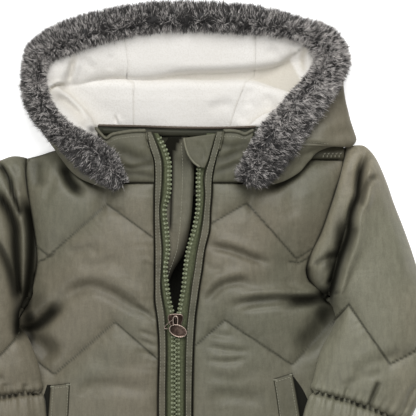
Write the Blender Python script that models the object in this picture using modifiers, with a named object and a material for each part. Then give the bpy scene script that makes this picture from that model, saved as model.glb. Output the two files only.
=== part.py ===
"""Baby winter jacket with a fur-trimmed hood, laid flat on its back with the hood spread open.

Metres, +Z up. +X is the wearer's left, +Y runs up to the hood, and the back lies on z = 0.
The tables are in millimetres. Their heights are of each piece's upper side.
"""

from collections import namedtuple
from math import cos, hypot, pi, radians, sin, sqrt

import bmesh
import bpy
from mathutils import Matrix, Vector

MM = 0.001

# Driving sizes, in millimetres.
SEAM_GAP = 0.3
QUILT_WALL = 4.0
SLEEVE_WALL = 3.0
SHELL_WALL = 2.0
FLEECE_WALL = 2.0
COLLAR_WALL = 2.5
STRIP_WALL = 1.8
STRIP_SWELL = 0.5
TAPE_WALL = 1.0
FLAP_WALL = 1.2
WELT_WALL = 2.0
HEM_Y = -237.6
SIDE_SEAM_Z = QUILT_WALL + SEAM_GAP + QUILT_WALL
ARMHOLE_RISE = 7.0
ARMPIT_Y = -27.0
SHOULDER_Y = 97.0
SHOULDER_RUN = 60.0
CROWN_FALL = 2.5
NECK_SEAM_Y = 74.7

# The slider and its pull, in millimetres.
SLIDER_X = -0.4
SLIDER_Y = -48.6
SLIDER_WIDTH = 12.6
SLIDER_LENGTH = 11.0
SLIDER_PLATE = 1.1
SLIDER_SLOT = 3.6
SLIDER_WEB = 1.0
LUG_LENGTH = 6.4
LUG_WIDTH = 1.4
LUG_BAR = 1.0
LUG_HOLE = 2.0
LINK_WIRE = 0.55
LINK_SPREAD = 1.9
LINK_LENGTH = 6.6
DISC_LENGTH = 17.5
DISC_HEIGHT = 12.6
DISC_THICK = 1.4
DISC_TURN = -20.0
DISC_SHIFT = 1.6

BodyRow = namedtuple("BodyRow", "y right_edge left_edge")
BODY_ROWS = (
    BodyRow(104.4, -135.5, 153.0),
    BodyRow(97.2, -135.9, 152.1),
    BodyRow(86.4, -136.8, 150.6),
    BodyRow(68.4, -135.0, 144.5),
    BodyRow(50.4, -131.9, 138.6),
    BodyRow(32.4, -128.9, 132.3),
    BodyRow(14.4, -126.7, 124.2),
    BodyRow(1.8, -126.5, 118.8),
    BodyRow(-14.4, -129.6, 120.6),
    BodyRow(-27.0, -133.7, 138.6),
    BodyRow(-42.0, -144.0, 146.0),
    BodyRow(-57.6, -147.0, 149.0),
    BodyRow(-93.6, -149.0, 151.0),
    BodyRow(-135.0, -151.0, 153.0),
    BodyRow(-183.6, -153.0, 155.0),
    BodyRow(HEM_Y, -156.0, 158.0),
)

ZipRow = namedtuple(
    "ZipRow", "y right_strip right_tape right_teeth left_teeth left_tape left_strip height"
)
ZIP_ROWS = (
    ZipRow(121.0, -27.0, -21.6, -17.1, 27.9, 36.0, 43.2, 29.0),
    ZipRow(108.9, -24.8, -16.7, -10.4, 25.2, 32.9, 40.5, 29.5),
    ZipRow(95.4, -20.3, -12.6, -5.4, 20.7, 29.3, 36.5, 30.0),
    ZipRow(80.1, -19.5, -12.1, -4.8, 18.9, 25.2, 33.3, 30.5),
    ZipRow(64.8, -19.8, -13.1, -5.4, 18.9, 25.7, 32.6, 31.0),
    ZipRow(51.3, -19.8, -14.4, -9.0, 18.5, 24.8, 31.5, 31.5),
    ZipRow(32.4, -19.8, -13.5, -7.2, 14.9, 22.5, 30.6, 32.0),
    ZipRow(14.4, -19.4, -12.2, -6.1, 9.9, 18.7, 26.3, 32.5),
    ZipRow(-3.6, -19.4, -12.8, -8.4, 7.2, 16.0, 23.9, 33.0),
    ZipRow(-19.8, -19.4, -13.5, -6.6, 5.6, 13.5, 21.2, 33.0),
    ZipRow(-31.5, -19.4, -11.9, -4.9, 3.6, 12.1, 19.6, 33.0),
    ZipRow(-43.2, -17.7, -9.9, -2.0, 1.5, 10.6, 18.0, 33.0),
    ZipRow(-57.6, -16.2, -9.0, -1.5, 0.7, 9.3, 16.9, 33.0),
    ZipRow(-116.1, -16.2, -9.0, -1.3, 0.5, 8.1, 14.9, 32.0),
    ZipRow(-180.0, -16.2, -9.0, -1.3, 0.5, 8.1, 14.9, 30.0),
    ZipRow(HEM_Y, -16.2, -9.0, -1.3, 0.5, 8.1, 14.9, 27.0),
)

# Where the body's rows meet its side edge: the armhole's share of the way up, then the sides.
ARMHOLE_PARTS = (1.0, 0.9, 0.74, 0.58, 0.42, 0.26, 0.1, 0.0)
ARMHOLE_Y = tuple(ARMPIT_Y + (SHOULDER_Y - ARMPIT_Y) * part for part in ARMHOLE_PARTS)
SIDE_Y = ARMHOLE_Y + (-42.0, -62.0, -100.0, -145.0, -190.0, HEM_Y)

# The front panels' upper edge, from the zip strip (across 0) to the armhole (across 1).
ShoulderRow = namedtuple("ShoulderRow", "across right_y left_y keeps_height")
SHOULDER_ROWS = (
    ShoulderRow(0.0, NECK_SEAM_Y, NECK_SEAM_Y, 1.0),
    ShoulderRow(0.28, NECK_SEAM_Y, NECK_SEAM_Y, 0.85),
    ShoulderRow(0.45, 90.0, 88.0, 0.35),
    ShoulderRow(0.6, 102.0, 97.0, 0.0),
    ShoulderRow(0.76, 104.6, 97.5, 0.0),
    ShoulderRow(0.89, 100.3, 97.0, 0.0),
    ShoulderRow(1.0, 97.0, 97.0, 0.0),
)

MID_COLUMN = ShoulderRow(0.14, NECK_SEAM_Y, NECK_SEAM_Y, 0.95)

# The back panel's upper edge, from the right shoulder tip to the left one.
BackTop = namedtuple("BackTop", "across y lift")
BACK_TOP_ROWS = (
    BackTop(0.0, 97.0, 0.0),
    BackTop(0.045, 100.3, 0.0),
    BackTop(0.1, 104.6, 0.0),
    BackTop(0.25, 104.0, 0.0),
    BackTop(0.29, 90.0, 0.0),
    BackTop(0.5, 89.0, 0.0),
    BackTop(0.73, 90.0, 0.0),
    BackTop(0.77, 104.0, 0.0),
    BackTop(0.88, 106.0, 3.0),
    BackTop(1.0, 105.0, 3.0),
)

# Fur trim, from its end at the wearer's right collar round the hood to the left collar.
FurRow = namedtuple("FurRow", "in_x in_y out_x out_y bottom top")
FUR_ROWS = (
    FurRow(-41.4, 77.4, -53.1, 69.3, 31.7, 44.0),
    FurRow(-57.6, 99.9, -81.0, 82.8, 30.0, 46.0),
    FurRow(-81.9, 117.0, -107.1, 107.1, 24.4, 43.0),
    FurRow(-107.1, 142.7, -131.4, 135.0, 21.0, 41.0),
    FurRow(-117.0, 169.2, -139.9, 169.2, 21.0, 41.0),
    FurRow(-102.6, 191.2, -128.7, 203.4, 21.0, 41.0),
    FurRow(-79.2, 198.0, -99.0, 221.4, 21.0, 41.0),
    FurRow(-45.9, 206.1, -52.2, 233.1, 21.0, 41.0),
    FurRow(12.6, 211.0, 12.6, 238.7, 21.0, 41.0),
    FurRow(71.1, 208.8, 77.4, 234.0, 21.0, 41.0),
    FurRow(99.0, 205.2, 111.6, 224.1, 21.0, 41.0),
    FurRow(117.0, 198.9, 143.1, 212.4, 21.0, 41.0),
    FurRow(126.9, 185.4, 157.1, 188.1, 21.0, 42.0),
    FurRow(109.8, 162.9, 144.9, 157.5, 22.2, 43.0),
    FurRow(90.0, 141.3, 123.3, 127.8, 24.2, 44.0),
    FurRow(72.9, 117.0, 108.9, 100.8, 28.4, 46.0),
    FurRow(60.3, 90.9, 90.0, 78.8, 31.2, 47.0),
    FurRow(56.2, 82.8, 73.8, 72.5, 31.7, 45.0),
)

# Hood shell: under the fur (rim), its outline (out), where it turns under (foot), its inner end.
HoodRow = namedtuple(
    "HoodRow", "rim_x rim_y rim_z out_x out_y out_z foot_x foot_y foot_z in_x in_y in_z"
)
HOOD_RIGHT_ROWS = (
    HoodRow(-49.0, 75.0, 31.0, -60.0, 71.5, 28.5, -60.0, 72.5, 27.8, -59.0, 73.5, 27.8),
    HoodRow(-72.0, 91.0, 29.0, -85.5, 85.0, 25.0, -85.5, 86.5, 23.5, -82.0, 89.0, 23.5),
    HoodRow(-94.5, 112.1, 23.5, -108.0, 107.5, 9.0, -104.0, 109.0, 3.0, -54.0, 107.0, 0.0),
    HoodRow(-119.3, 138.6, 20.5, -129.6, 135.9, 10.0, -118.0, 139.0, 0.0, -46.4, 118.0, 0.0),
    HoodRow(-128.7, 169.2, 20.5, -136.8, 169.2, 10.0, -124.0, 168.0, 0.0, -46.4, 138.0, 0.0),
    HoodRow(-115.7, 197.1, 20.5, -124.2, 201.6, 10.0, -113.0, 193.0, 0.0, -46.4, 158.0, 0.0),
    HoodRow(-89.1, 209.7, 20.5, -95.4, 217.8, 10.0, -88.0, 206.0, 0.0, -46.4, 178.0, 0.0),
    HoodRow(-48.9, 219.6, 20.5, -51.0, 230.0, 10.0, -49.0, 217.0, 0.0, -46.4, 198.0, 0.0),
)
HOOD_LEFT_ROWS = (
    HoodRow(74.5, 221.0, 20.5, 76.5, 230.5, 10.0, 74.0, 217.0, 0.0, 71.9, 198.0, 0.0),
    HoodRow(105.3, 214.7, 20.5, 109.7, 220.4, 10.0, 102.0, 207.0, 0.0, 71.9, 180.0, 0.0),
    HoodRow(130.0, 205.7, 20.5, 139.0, 208.7, 10.0, 127.0, 198.0, 0.0, 71.9, 164.0, 0.0),
    HoodRow(142.2, 186.8, 20.5, 153.9, 187.2, 10.0, 140.0, 183.0, 0.0, 71.9, 150.0, 0.0),
    HoodRow(129.0, 159.0, 21.5, 153.0, 151.5, 11.0, 142.0, 150.0, 0.0, 71.9, 136.0, 0.0),
    HoodRow(110.0, 134.0, 23.5, 161.5, 119.0, 12.0, 150.0, 120.5, 0.0, 71.9, 122.0, 0.0),
    HoodRow(100.0, 121.5, 25.5, 158.0, 109.0, 13.0, 148.0, 110.5, 1.0, 73.0, 110.0, 0.5),
    HoodRow(92.0, 106.0, 28.0, 128.0, 105.0, 17.0, 122.0, 107.5, 12.5, 84.0, 107.5, 12.0),
    HoodRow(78.0, 87.5, 30.5, 112.0, 88.0, 22.5, 109.0, 90.5, 20.0, 92.0, 92.0, 22.0),
    HoodRow(66.0, 77.5, 31.0, 88.0, 74.0, 28.0, 86.5, 76.0, 26.0, 80.0, 79.0, 27.0),
)
HOOD_CENTRE_X = (-46.0, -8.0, 33.0, 71.5)
HoodStep = namedtuple("HoodStep", "y z")
HOOD_CENTRE_STEPS = (
    HoodStep(220.5, 20.5), HoodStep(230.5, 10.0), HoodStep(218.0, 0.0),
    HoodStep(180.0, 0.0), HoodStep(135.0, 0.0), HoodStep(93.0, 0.0),
)

# Fleece lining of the hood's centre, from under the fur down to behind the collar.
FleeceRow = namedtuple("FleeceRow", "y z")
FLEECE_CENTRE_ROWS = (
    FleeceRow(214.0, 21.5), FleeceRow(205.0, 25.0), FleeceRow(192.0, 26.0),
    FleeceRow(178.0, 22.0), FleeceRow(172.0, 13.0), FleeceRow(166.0, 13.0),
    FleeceRow(160.0, 17.0), FleeceRow(145.0, 18.0), FleeceRow(132.0, 14.0),
    FleeceRow(122.0, 9.5), FleeceRow(106.0, 6.5),
)
FLEECE_CENTRE_X = (-45.5, -20.0, 12.0, 45.0, 71.0)

# Fleece of the hood's sides: at the fur (rim), halfway (fold) and at the centre's seam.
FleeceStation = namedtuple(
    "FleeceStation", "rim_x rim_y rim_z fold_x fold_y fold_z seam_x seam_y seam_z"
)
FLEECE_RIGHT_ROWS = (
    FleeceStation(-79.5, 107.0, 21.5, -77.5, 112.0, 20.0, -75.5, 117.0, 18.0),
    FleeceStation(-88.0, 115.0, 21.0, -78.0, 121.0, 17.0, -46.2, 122.0, 9.5),
    FleeceStation(-110.0, 141.0, 20.5, -84.0, 134.0, 14.0, -46.2, 132.0, 14.0),
    FleeceStation(-120.0, 168.0, 20.5, -88.0, 154.0, 16.0, -46.2, 145.0, 18.0),
    FleeceStation(-106.0, 193.0, 20.5, -84.0, 172.0, 17.0, -46.2, 166.0, 13.0),
    FleeceStation(-82.0, 202.0, 20.5, -66.0, 190.0, 23.0, -46.2, 178.0, 22.0),
    FleeceStation(-48.0, 213.0, 21.5, -47.0, 205.0, 25.0, -46.2, 192.0, 26.0),
)
FLEECE_LEFT_ROWS = (
    FleeceStation(73.5, 213.0, 21.5, 72.5, 205.0, 25.0, 71.7, 192.0, 26.0),
    FleeceStation(101.0, 208.0, 20.5, 92.0, 196.0, 24.0, 71.7, 178.0, 22.0),
    FleeceStation(121.0, 201.0, 20.5, 104.0, 186.0, 21.0, 71.7, 166.0, 13.0),
    FleeceStation(129.0, 185.0, 20.5, 106.0, 172.0, 17.0, 71.7, 154.0, 17.0),
    FleeceStation(113.0, 161.0, 20.5, 96.0, 154.0, 14.0, 71.7, 145.0, 18.0),
    FleeceStation(93.0, 139.5, 20.5, 82.0, 137.0, 15.0, 71.7, 132.0, 14.0),
    FleeceStation(80.0, 119.0, 21.0, 77.0, 120.0, 17.0, 71.7, 120.0, 13.0),
)

# Collar: the front pieces between the neck seam and the top, and the back one behind them.
CollarStep = namedtuple("CollarStep", "across right_top left_top drop")
COLLAR_STEPS = (
    CollarStep(0.0, 121.5, 121.5, 0.0),
    CollarStep(0.3, 121.5, 121.5, 0.6),
    CollarStep(0.65, 120.0, 121.0, 1.4),
    CollarStep(0.9, 117.5, 118.5, 2.2),
    CollarStep(1.0, 114.5, 121.0, 2.6),
)
COLLAR_END_TOP = {"right": -62.0, "left": 69.0}
COLLAR_END_NECK = {"right": -50.0, "left": 61.0}
CollarBackRow = namedtuple("CollarBackRow", "x top_y top_z neck_z")
COLLAR_BACK_ROWS = (
    CollarBackRow(-70.5, 126.5, 22.0, 19.8), CollarBackRow(-60.0, 126.0, 18.5, 12.0),
    CollarBackRow(-35.0, 125.5, 15.0, 6.9), CollarBackRow(5.0, 124.5, 14.5, 6.9),
    CollarBackRow(40.0, 124.2, 15.0, 6.9), CollarBackRow(62.0, 124.6, 18.5, 9.0),
    CollarBackRow(74.0, 125.5, 22.0, 17.0),
)
COLLAR_BACK_NECK_Y = 89.2

# Sleeves: each section is a chord from the sleeve's edge beside the body to its outer edge.
SleeveRow = namedtuple("SleeveRow", "in_x in_y out_x out_y top edge armhole_share rides")
SLEEVE_RIGHT_ROWS = (
    SleeveRow(-137.0, -28.5, -146.0, 97.2, 19.0, 8.0, 0.6, 0),
    SleeveRow(-140.0, -30.0, -158.4, 93.5, 25.0, 9.0, 0.3, 0),
    SleeveRow(-143.5, -34.0, -180.9, 86.4, 31.0, 11.0, 0.0, 0),
    SleeveRow(-146.5, -40.0, -204.0, 66.0, 36.0, 14.0, 0.0, 1),
    SleeveRow(-141.5, -50.0, -221.0, 20.0, 39.0, 14.0, 0.0, 1),
    SleeveRow(-135.9, -62.0, -229.0, -30.0, 40.0, 16.0, 0.0, 1),
    SleeveRow(-129.6, -80.0, -229.0, -80.0, 39.0, 18.0, 0.0, 1),
    SleeveRow(-125.1, -97.0, -219.0, -115.0, 36.0, 20.0, 0.0, 1),
    SleeveRow(-122.4, -115.2, -204.0, -138.6, 30.0, 21.0, 0.0, 1),
)
SLEEVE_LEFT_ROWS = (
    SleeveRow(141.5, -28.5, 163.0, 103.5, 19.0, 8.0, 0.6, 0),
    SleeveRow(143.5, -29.5, 173.0, 102.6, 13.0, 8.0, 0.0, 0),
    SleeveRow(146.0, -33.0, 176.4, 99.0, 30.0, 11.0, 0.0, 0),
    SleeveRow(149.0, -40.0, 197.1, 52.0, 36.0, 14.0, 0.0, 1),
    SleeveRow(142.0, -50.0, 213.0, 8.0, 39.0, 14.0, 0.0, 1),
    SleeveRow(138.0, -62.0, 226.0, -35.0, 40.0, 16.0, 0.0, 1),
    SleeveRow(131.4, -78.0, 229.0, -80.0, 39.0, 18.0, 0.0, 1),
    SleeveRow(127.0, -97.0, 221.0, -116.0, 36.0, 20.0, 0.0, 1),
    SleeveRow(123.3, -114.3, 205.2, -142.2, 30.0, 21.0, 0.0, 1),
)
CUFF_RIGHT_ROWS = (
    SleeveRow(-122.3, -115.6, -203.9, -139.0, 30.0, 21.0, 0.0, 1),
    SleeveRow(-120.8, -129.0, -206.0, -155.0, 33.0, 21.0, 0.0, 1),
    SleeveRow(-119.5, -143.0, -202.0, -170.0, 32.0, 21.0, 0.0, 1),
)
CUFF_LEFT_ROWS = (
    SleeveRow(123.2, -114.7, 205.1, -142.6, 30.0, 21.0, 0.0, 1),
    SleeveRow(119.0, -128.0, 206.0, -158.0, 33.0, 21.0, 0.0, 1),
    SleeveRow(115.5, -142.0, 200.0, -173.0, 32.0, 21.0, 0.0, 1),
)

# Pocket welts: how far across the front panel their inner and outer edges run, down the body.
WeltRow = namedtuple("WeltRow", "y right_in right_out left_in left_out")
WELT_ROWS = (
    WeltRow(-107.0, -95.4, -113.5, 88.0, 104.6),
    WeltRow(-135.0, -97.0, -115.4, 92.0, 110.0),
    WeltRow(-175.0, -100.0, -118.0, 97.0, 115.5),
    WeltRow(-208.0, -103.0, -121.0, 101.0, 119.5),
)
WELT_OPEN_LIFT = 2.2

# Wind flap behind the zip: its sewn edge and its free edge down the body.
FlapRow = namedtuple("FlapRow", "y sewn free drop")
FLAP_ROWS = (
    FlapRow(106.0, -2.0, 12.0, 5.5),
    FlapRow(96.0, -12.0, 24.0, 5.5),
    FlapRow(60.0, -13.0, 26.0, 5.5),
    FlapRow(32.0, -13.0, 20.0, 5.5),
    FlapRow(12.0, -13.0, 8.0, 6.0),
    FlapRow(-8.0, -13.0, -4.0, 6.5),
    FlapRow(-60.0, -13.0, -3.5, 7.6),
    FlapRow(HEM_Y + 6.0, -13.0, -3.5, 7.6),
)
FLAP_SEWN_DROP = STRIP_WALL + TAPE_WALL + 2 * SEAM_GAP
CHIN_GUARD = ((7.2, 115.7), (36.4, 118.8), (26.1, 89.1), (20.7, 89.1))


def share(value, low, high):
    """How far value lies between low and high, held within 0 and 1."""
    return min(1.0, max(0.0, (value - low) / (high - low)))


def read(rows, column, key, at):
    """A table column's value where its key column reads `at`, straight between two rows."""
    rows = sorted(rows, key=lambda row: getattr(row, key))
    for low, high in zip(rows, rows[1:]):
        if at <= getattr(high, key) or high is rows[-1]:
            part = share(at, getattr(low, key), getattr(high, key))
            return getattr(low, column) * (1 - part) + getattr(high, column) * part


def body_edge(side, y):
    return read(BODY_ROWS, side + "_edge", "y", y)


def zip_line(side, line, y):
    return read(ZIP_ROWS, side + "_" + line, "y", y)


def front_row_y(top, side_y):
    """Height up the garment of a front row, on a column whose upper end is at `top`."""
    return top + (HEM_Y - top) * (SHOULDER_Y - side_y) / (SHOULDER_Y - HEM_Y)


def strip_edge(side, y):
    """Where the zip strip meets the front panel, straight between the panel's rows."""
    seam = [front_row_y(NECK_SEAM_Y, side_y) for side_y in SIDE_Y]
    for upper, lower in zip(seam, seam[1:]):
        if lower <= y <= upper:
            part = share(y, lower, upper)
            return (zip_line(side, "strip", lower) * (1 - part)
                    + zip_line(side, "strip", upper) * part)
    return zip_line(side, "strip", y)


def zip_height(y):
    return read(ZIP_ROWS, "height", "y", y)


def edge_height(y):
    """The front panel's height along its side seam and armhole."""
    around = share(y, ARMPIT_Y, SHOULDER_Y)
    return SIDE_SEAM_Z + ARMHOLE_RISE * sin(pi * around)


def front_height(side, across, y):
    """The front panel's height between the zip strip (across 0) and its side edge (across 1)."""
    edge = edge_height(y)
    below = share(read(SHOULDER_ROWS, side + "_y", "across", across) - y, 0, SHOULDER_RUN)
    kept = read(SHOULDER_ROWS, "keeps_height", "across", across)
    rise = kept + (1 - kept) * (1 - (1 - below) ** 2)
    return edge + (zip_height(y) - edge) * (1 - across ** CROWN_FALL) * rise


def front_point(side, across, y, lift=0.0):
    strip = zip_line(side, "strip", y)
    x = strip + (body_edge(side, y) - strip) * across
    return (x, y, front_height(side, across, y) + lift)


def front_height_at(side, x, y):
    strip = zip_line(side, "strip", y)
    across = share(x, strip, body_edge(side, y)) if side == "left" else share(
        -x, -strip, -body_edge(side, y))
    return front_height(side, across, y)


def material(name, colour, roughness, metallic=0.0):
    made = bpy.data.materials.new(name)
    made.use_nodes = True
    shader = made.node_tree.nodes["Principled BSDF"]
    shader.inputs["Base Color"].default_value = (*colour, 1.0)
    shader.inputs["Roughness"].default_value = roughness
    shader.inputs["Metallic"].default_value = metallic
    return made


def add_object(name, mesh, finish, collection):
    made = bpy.data.objects.new(name, mesh)
    made.data.materials.append(finish)
    collection.objects.link(made)
    return made


def sheet(name, grid, wall, finish, collection, ring=False, flip=False):
    """A cloth wall whose outer side runs through the grid's points, row by row."""
    work = bmesh.new()
    rows = [[work.verts.new(Vector(point) * MM) for point in row] for row in grid]
    across = len(rows[0])
    for upper, lower in zip(rows, rows[1:]):
        for i in range(across if ring else across - 1):
            j = (i + 1) % across
            corners = [upper[i], lower[i], lower[j], upper[j]]
            work.faces.new(corners[::-1] if flip else corners)
    mesh = bpy.data.meshes.new(name)
    work.to_mesh(mesh)
    work.free()
    made = add_object(name, mesh, finish, collection)
    solid = made.modifiers.new("wall", "SOLIDIFY")
    solid.thickness = wall * MM
    solid.offset = -1.0
    mesh.shade_smooth()
    return made


def front_panel(side, finish, collection):
    """A quilted front, from the zip strip to the side seam and armhole, shoulder to hem."""
    grid = []
    for side_y in SIDE_Y:
        row = []
        for shoulder in (*SHOULDER_ROWS[:1], MID_COLUMN, *SHOULDER_ROWS[1:]):
            top = getattr(shoulder, side + "_y")
            row.append(front_point(side, shoulder.across, front_row_y(top, side_y)))
        grid.append(row)
    return sheet("front_" + side, grid, QUILT_WALL, finish, collection, flip=side == "right")


def back_panel(finish, collection):
    """The quilted back, lying on the surface, with its shoulders and its scooped neck."""
    top_row = []
    grid = [top_row]
    for top in BACK_TOP_ROWS:
        right, left = body_edge("right", top.y), body_edge("left", top.y)
        top_row.append((right + (left - right) * top.across, top.y, top.lift))
    for side_y in (SHOULDER_Y - 0.6, *SIDE_Y[1:]):
        row = []
        for top in BACK_TOP_ROWS:
            base = min(top.y, SHOULDER_Y) - 0.1
            y = front_row_y(base, side_y)
            right, left = body_edge("right", y), body_edge("left", y)
            row.append((right + (left - right) * top.across, y, 0.0))
        grid.append(row)
    return sheet("back_panel", grid, QUILT_WALL, finish, collection, flip=True)


def zip_strip(side, finish, collection):
    """The topstitched strip beside the zip, collar top to hem."""
    sign = 1 if side == "left" else -1
    seam = {front_row_y(NECK_SEAM_Y, side_y) for side_y in SIDE_Y}
    grid = []
    for y in sorted(seam | {row.y for row in ZIP_ROWS}, reverse=True):
        outer = strip_edge(side, y) - sign * SEAM_GAP
        inner = zip_line(side, "tape", y)
        z = zip_height(y)
        grid.append([(inner, y, z), ((inner + outer) / 2, y, z + STRIP_SWELL), (outer, y, z)])
    return sheet("placket_" + side, grid, STRIP_WALL, finish, collection, flip=side == "right")


def zip_tape(side, finish, collection):
    """The zip tape, tucked under the strip, with the teeth on its free edge."""
    sign = 1 if side == "left" else -1
    tuck = 4.5
    grid = []
    for row in ZIP_ROWS:
        z = row.height - STRIP_WALL - SEAM_GAP
        inner = zip_line(side, "teeth", row.y)
        grid.append([(inner, row.y, z), (zip_line(side, "tape", row.y) + sign * tuck, row.y, z)])
    return sheet("zip_tape_" + side, grid, TAPE_WALL, finish, collection, flip=side == "right")


def wind_flap(finish, collection):
    grid = []
    for row in FLAP_ROWS:
        z = zip_height(row.y)
        low = z - (FLAP_SEWN_DROP + 2 * row.drop) / 3
        grid.append([(row.sewn, row.y, z - FLAP_SEWN_DROP),
                     (row.sewn + (row.free - row.sewn) * 0.35, row.y, low),
                     (row.free, row.y, z - row.drop)])
    return sheet("wind_flap", grid, FLAP_WALL, finish, collection)


def chin_guard(finish, collection):
    """The small folded guard over the zip's upper end on the wearer's left."""
    top_left, top_right, low_right, low_left = CHIN_GUARD
    lift = STRIP_SWELL + SEAM_GAP + STRIP_WALL
    grid = []
    for start, end in ((top_left, top_right), (low_left, low_right)):
        row = []
        for part in (0.0, 0.5, 1.0):
            x = start[0] + (end[0] - start[0]) * part
            y = start[1] + (end[1] - start[1]) * part
            row.append((x, y, zip_height(y) + lift))
        grid.append(row)
    return sheet("chin_guard", grid, STRIP_WALL, finish, collection)


def collar_front(side, finish, collection):
    """A front collar piece, from the neck seam up to its piped top edge."""
    sign = 1 if side == "left" else -1
    grid = []
    for part in (1.0, 0.66, 0.33, 0.0):
        row = []
        for step in COLLAR_STEPS:
            top = getattr(step, side + "_top")
            low = NECK_SEAM_Y + SEAM_GAP
            y = low + (top - low) * part
            start = zip_line(side, "strip", y) + sign * SEAM_GAP
            end = COLLAR_END_NECK[side] + (COLLAR_END_TOP[side] - COLLAR_END_NECK[side]) * part
            x = start + (end - start) * step.across
            row.append((x, y, zip_height(y) - step.drop))
        grid.append(row)
    return sheet("collar_" + side, grid, COLLAR_WALL, finish, collection, flip=side == "right")


def collar_back(finish, collection):
    """The back of the collar, whose inner side shows behind the front pieces."""
    grid = []
    for part in (1.0, 0.5, 0.0):
        grid.append([(row.x, COLLAR_BACK_NECK_Y + (row.top_y - COLLAR_BACK_NECK_Y) * part,
                      row.neck_z + (row.top_z - row.neck_z) * part) for row in COLLAR_BACK_ROWS])
    return sheet("collar_back", grid, COLLAR_WALL, finish, collection)


def hood_centre(finish, collection):
    grid = [[(x, step.y, step.z) for x in HOOD_CENTRE_X] for step in HOOD_CENTRE_STEPS]
    return sheet("hood_centre", grid, SHELL_WALL, finish, collection, flip=True)


def hood_side(side, rows, finish, collection):
    """A side of the hood's shell, from under the fur, round its outline and in beneath."""
    grid = []
    for row in rows:
        rim = Vector((row.rim_x, row.rim_y, row.rim_z))
        out = Vector((row.out_x, row.out_y, row.out_z))
        foot = Vector((row.foot_x, row.foot_y, row.foot_z))
        inner = Vector((row.in_x, row.in_y, row.in_z))
        swell = Vector((0, 0, 0.12 * (out - rim).length))
        grid.append([rim, (rim + out) / 2 + swell, out, foot, inner])
    return sheet("hood_side_" + side, grid, SHELL_WALL, finish, collection)


def fleece_centre(finish, collection):
    grid = [[(x, row.y, row.z) for x in FLEECE_CENTRE_X] for row in FLEECE_CENTRE_ROWS]
    return sheet("lining_centre", grid, FLEECE_WALL, finish, collection)


def fleece_side(side, rows, finish, collection):
    grid = []
    for row in rows:
        rim = Vector((row.rim_x, row.rim_y, row.rim_z))
        fold = Vector((row.fold_x, row.fold_y, row.fold_z))
        seam = Vector((row.seam_x, row.seam_y, row.seam_z))
        grid.append([rim, (rim + fold) / 2, fold, (fold + seam) / 2, seam])
    return sheet("lining_side_" + side, grid, FLEECE_WALL, finish, collection, flip=True)


def fur_trim(finish, collection):
    """The fur's reach round the hood: an oval section carried along the hood's edge."""
    points = 8
    work = bmesh.new()
    rings = []
    for row in FUR_ROWS:
        inner = Vector((row.in_x, row.in_y, 0))
        outer = Vector((row.out_x, row.out_y, 0))
        middle = (inner + outer) / 2 + Vector((0, 0, (row.bottom + row.top) / 2))
        ring = []
        for i in range(points):
            angle = 2 * pi * i / points
            reach = (outer - inner) / 2 * cos(angle)
            rise = Vector((0, 0, (row.top - row.bottom) / 2 * sin(angle)))
            ring.append(work.verts.new((middle + reach + rise) * MM))
        rings.append(ring)
    for low, high in zip(rings, rings[1:]):
        for i in range(points):
            j = (i + 1) % points
            work.faces.new([low[j], high[j], high[i], low[i]])
    work.faces.new(rings[0][::-1])
    work.faces.new(rings[-1])
    mesh = bpy.data.meshes.new("fur_trim")
    work.to_mesh(mesh)
    work.free()
    mesh.shade_smooth()
    return add_object("fur_trim", mesh, finish, collection)


def armhole_ring(side):
    """The sleeve's first section, along the body's armhole, front and back."""
    gap = SEAM_GAP * 1.7 * (1 if side == "left" else -1)
    upward = ARMHOLE_Y[::-1]
    front = [(body_edge(side, y) + gap, y, edge_height(y)) for y in upward]
    front[0] = front[0][:2] + (SIDE_SEAM_Z / 2,)
    front[-1] = front[-1][:2] + (SIDE_SEAM_Z / 2,)
    back = [(body_edge(side, y) + gap, y, 0.0) for y in ARMHOLE_Y[1:-1]]
    return front + back


def sleeve_ring(side, row):
    """One closed section of a sleeve, its underside on the surface or on the body's side."""
    sign = 1 if side == "left" else -1
    inner = Vector((row.in_x, row.in_y, 0))
    outer = Vector((row.out_x, row.out_y, 0))

    def place(part, z):
        spot = inner + (outer - inner) * part
        if row.armhole_share and 0 < part < 1:
            seam = body_edge(side, ARMPIT_Y + (SHOULDER_Y - ARMPIT_Y) * part)
            spot.x += (seam - spot.x) * row.armhole_share
        spot.z = z
        return spot

    upward = ARMHOLE_PARTS[::-1]
    edge = row.edge
    inward = max(0.5, sign * (body_edge(side, row.in_y) - row.in_x))
    if row.rides:
        edge = max(edge, front_height_at(side, row.in_x, row.in_y) + 4.0)
    ring = []
    for part in upward:
        curve = sqrt(1 - (2 * part - 1) ** 2)
        low = edge + (row.edge - edge) * part
        ring.append(place(part, low + (row.top - low) * curve))
    span = sign * (row.out_x - row.in_x)
    if row.rides:
        beside, clear = (inward + 0.9) / span, (inward + 7.0) / span
        ring += [place(part, 0.0) for part in (0.9, 0.7, 0.5, max(clear, 0.2))]
        ring.append(place(beside, SIDE_SEAM_Z + 1.2))
        spot = place(beside * 0.4, 0.0)
        ring.append(place(beside * 0.4, front_height_at(side, spot.x, spot.y) + 1.0))
    else:
        ring += [place(part, 0.0) for part in ARMHOLE_PARTS[1:-1]]
    return ring


def sleeve(side, rows, finish, collection):
    grid = [armhole_ring(side)] + [sleeve_ring(side, row) for row in rows]
    return sheet("sleeve_" + side, grid, SLEEVE_WALL, finish, collection, ring=True,
                 flip=side == "right")


def cuff(side, rows, finish, collection):
    """The gathered end of a sleeve, past its elastic line, open at the hand."""
    grid = [sleeve_ring(side, row) for row in rows]
    return sheet("cuff_" + side, grid, SLEEVE_WALL, finish, collection, ring=True,
                 flip=side == "right")


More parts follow.
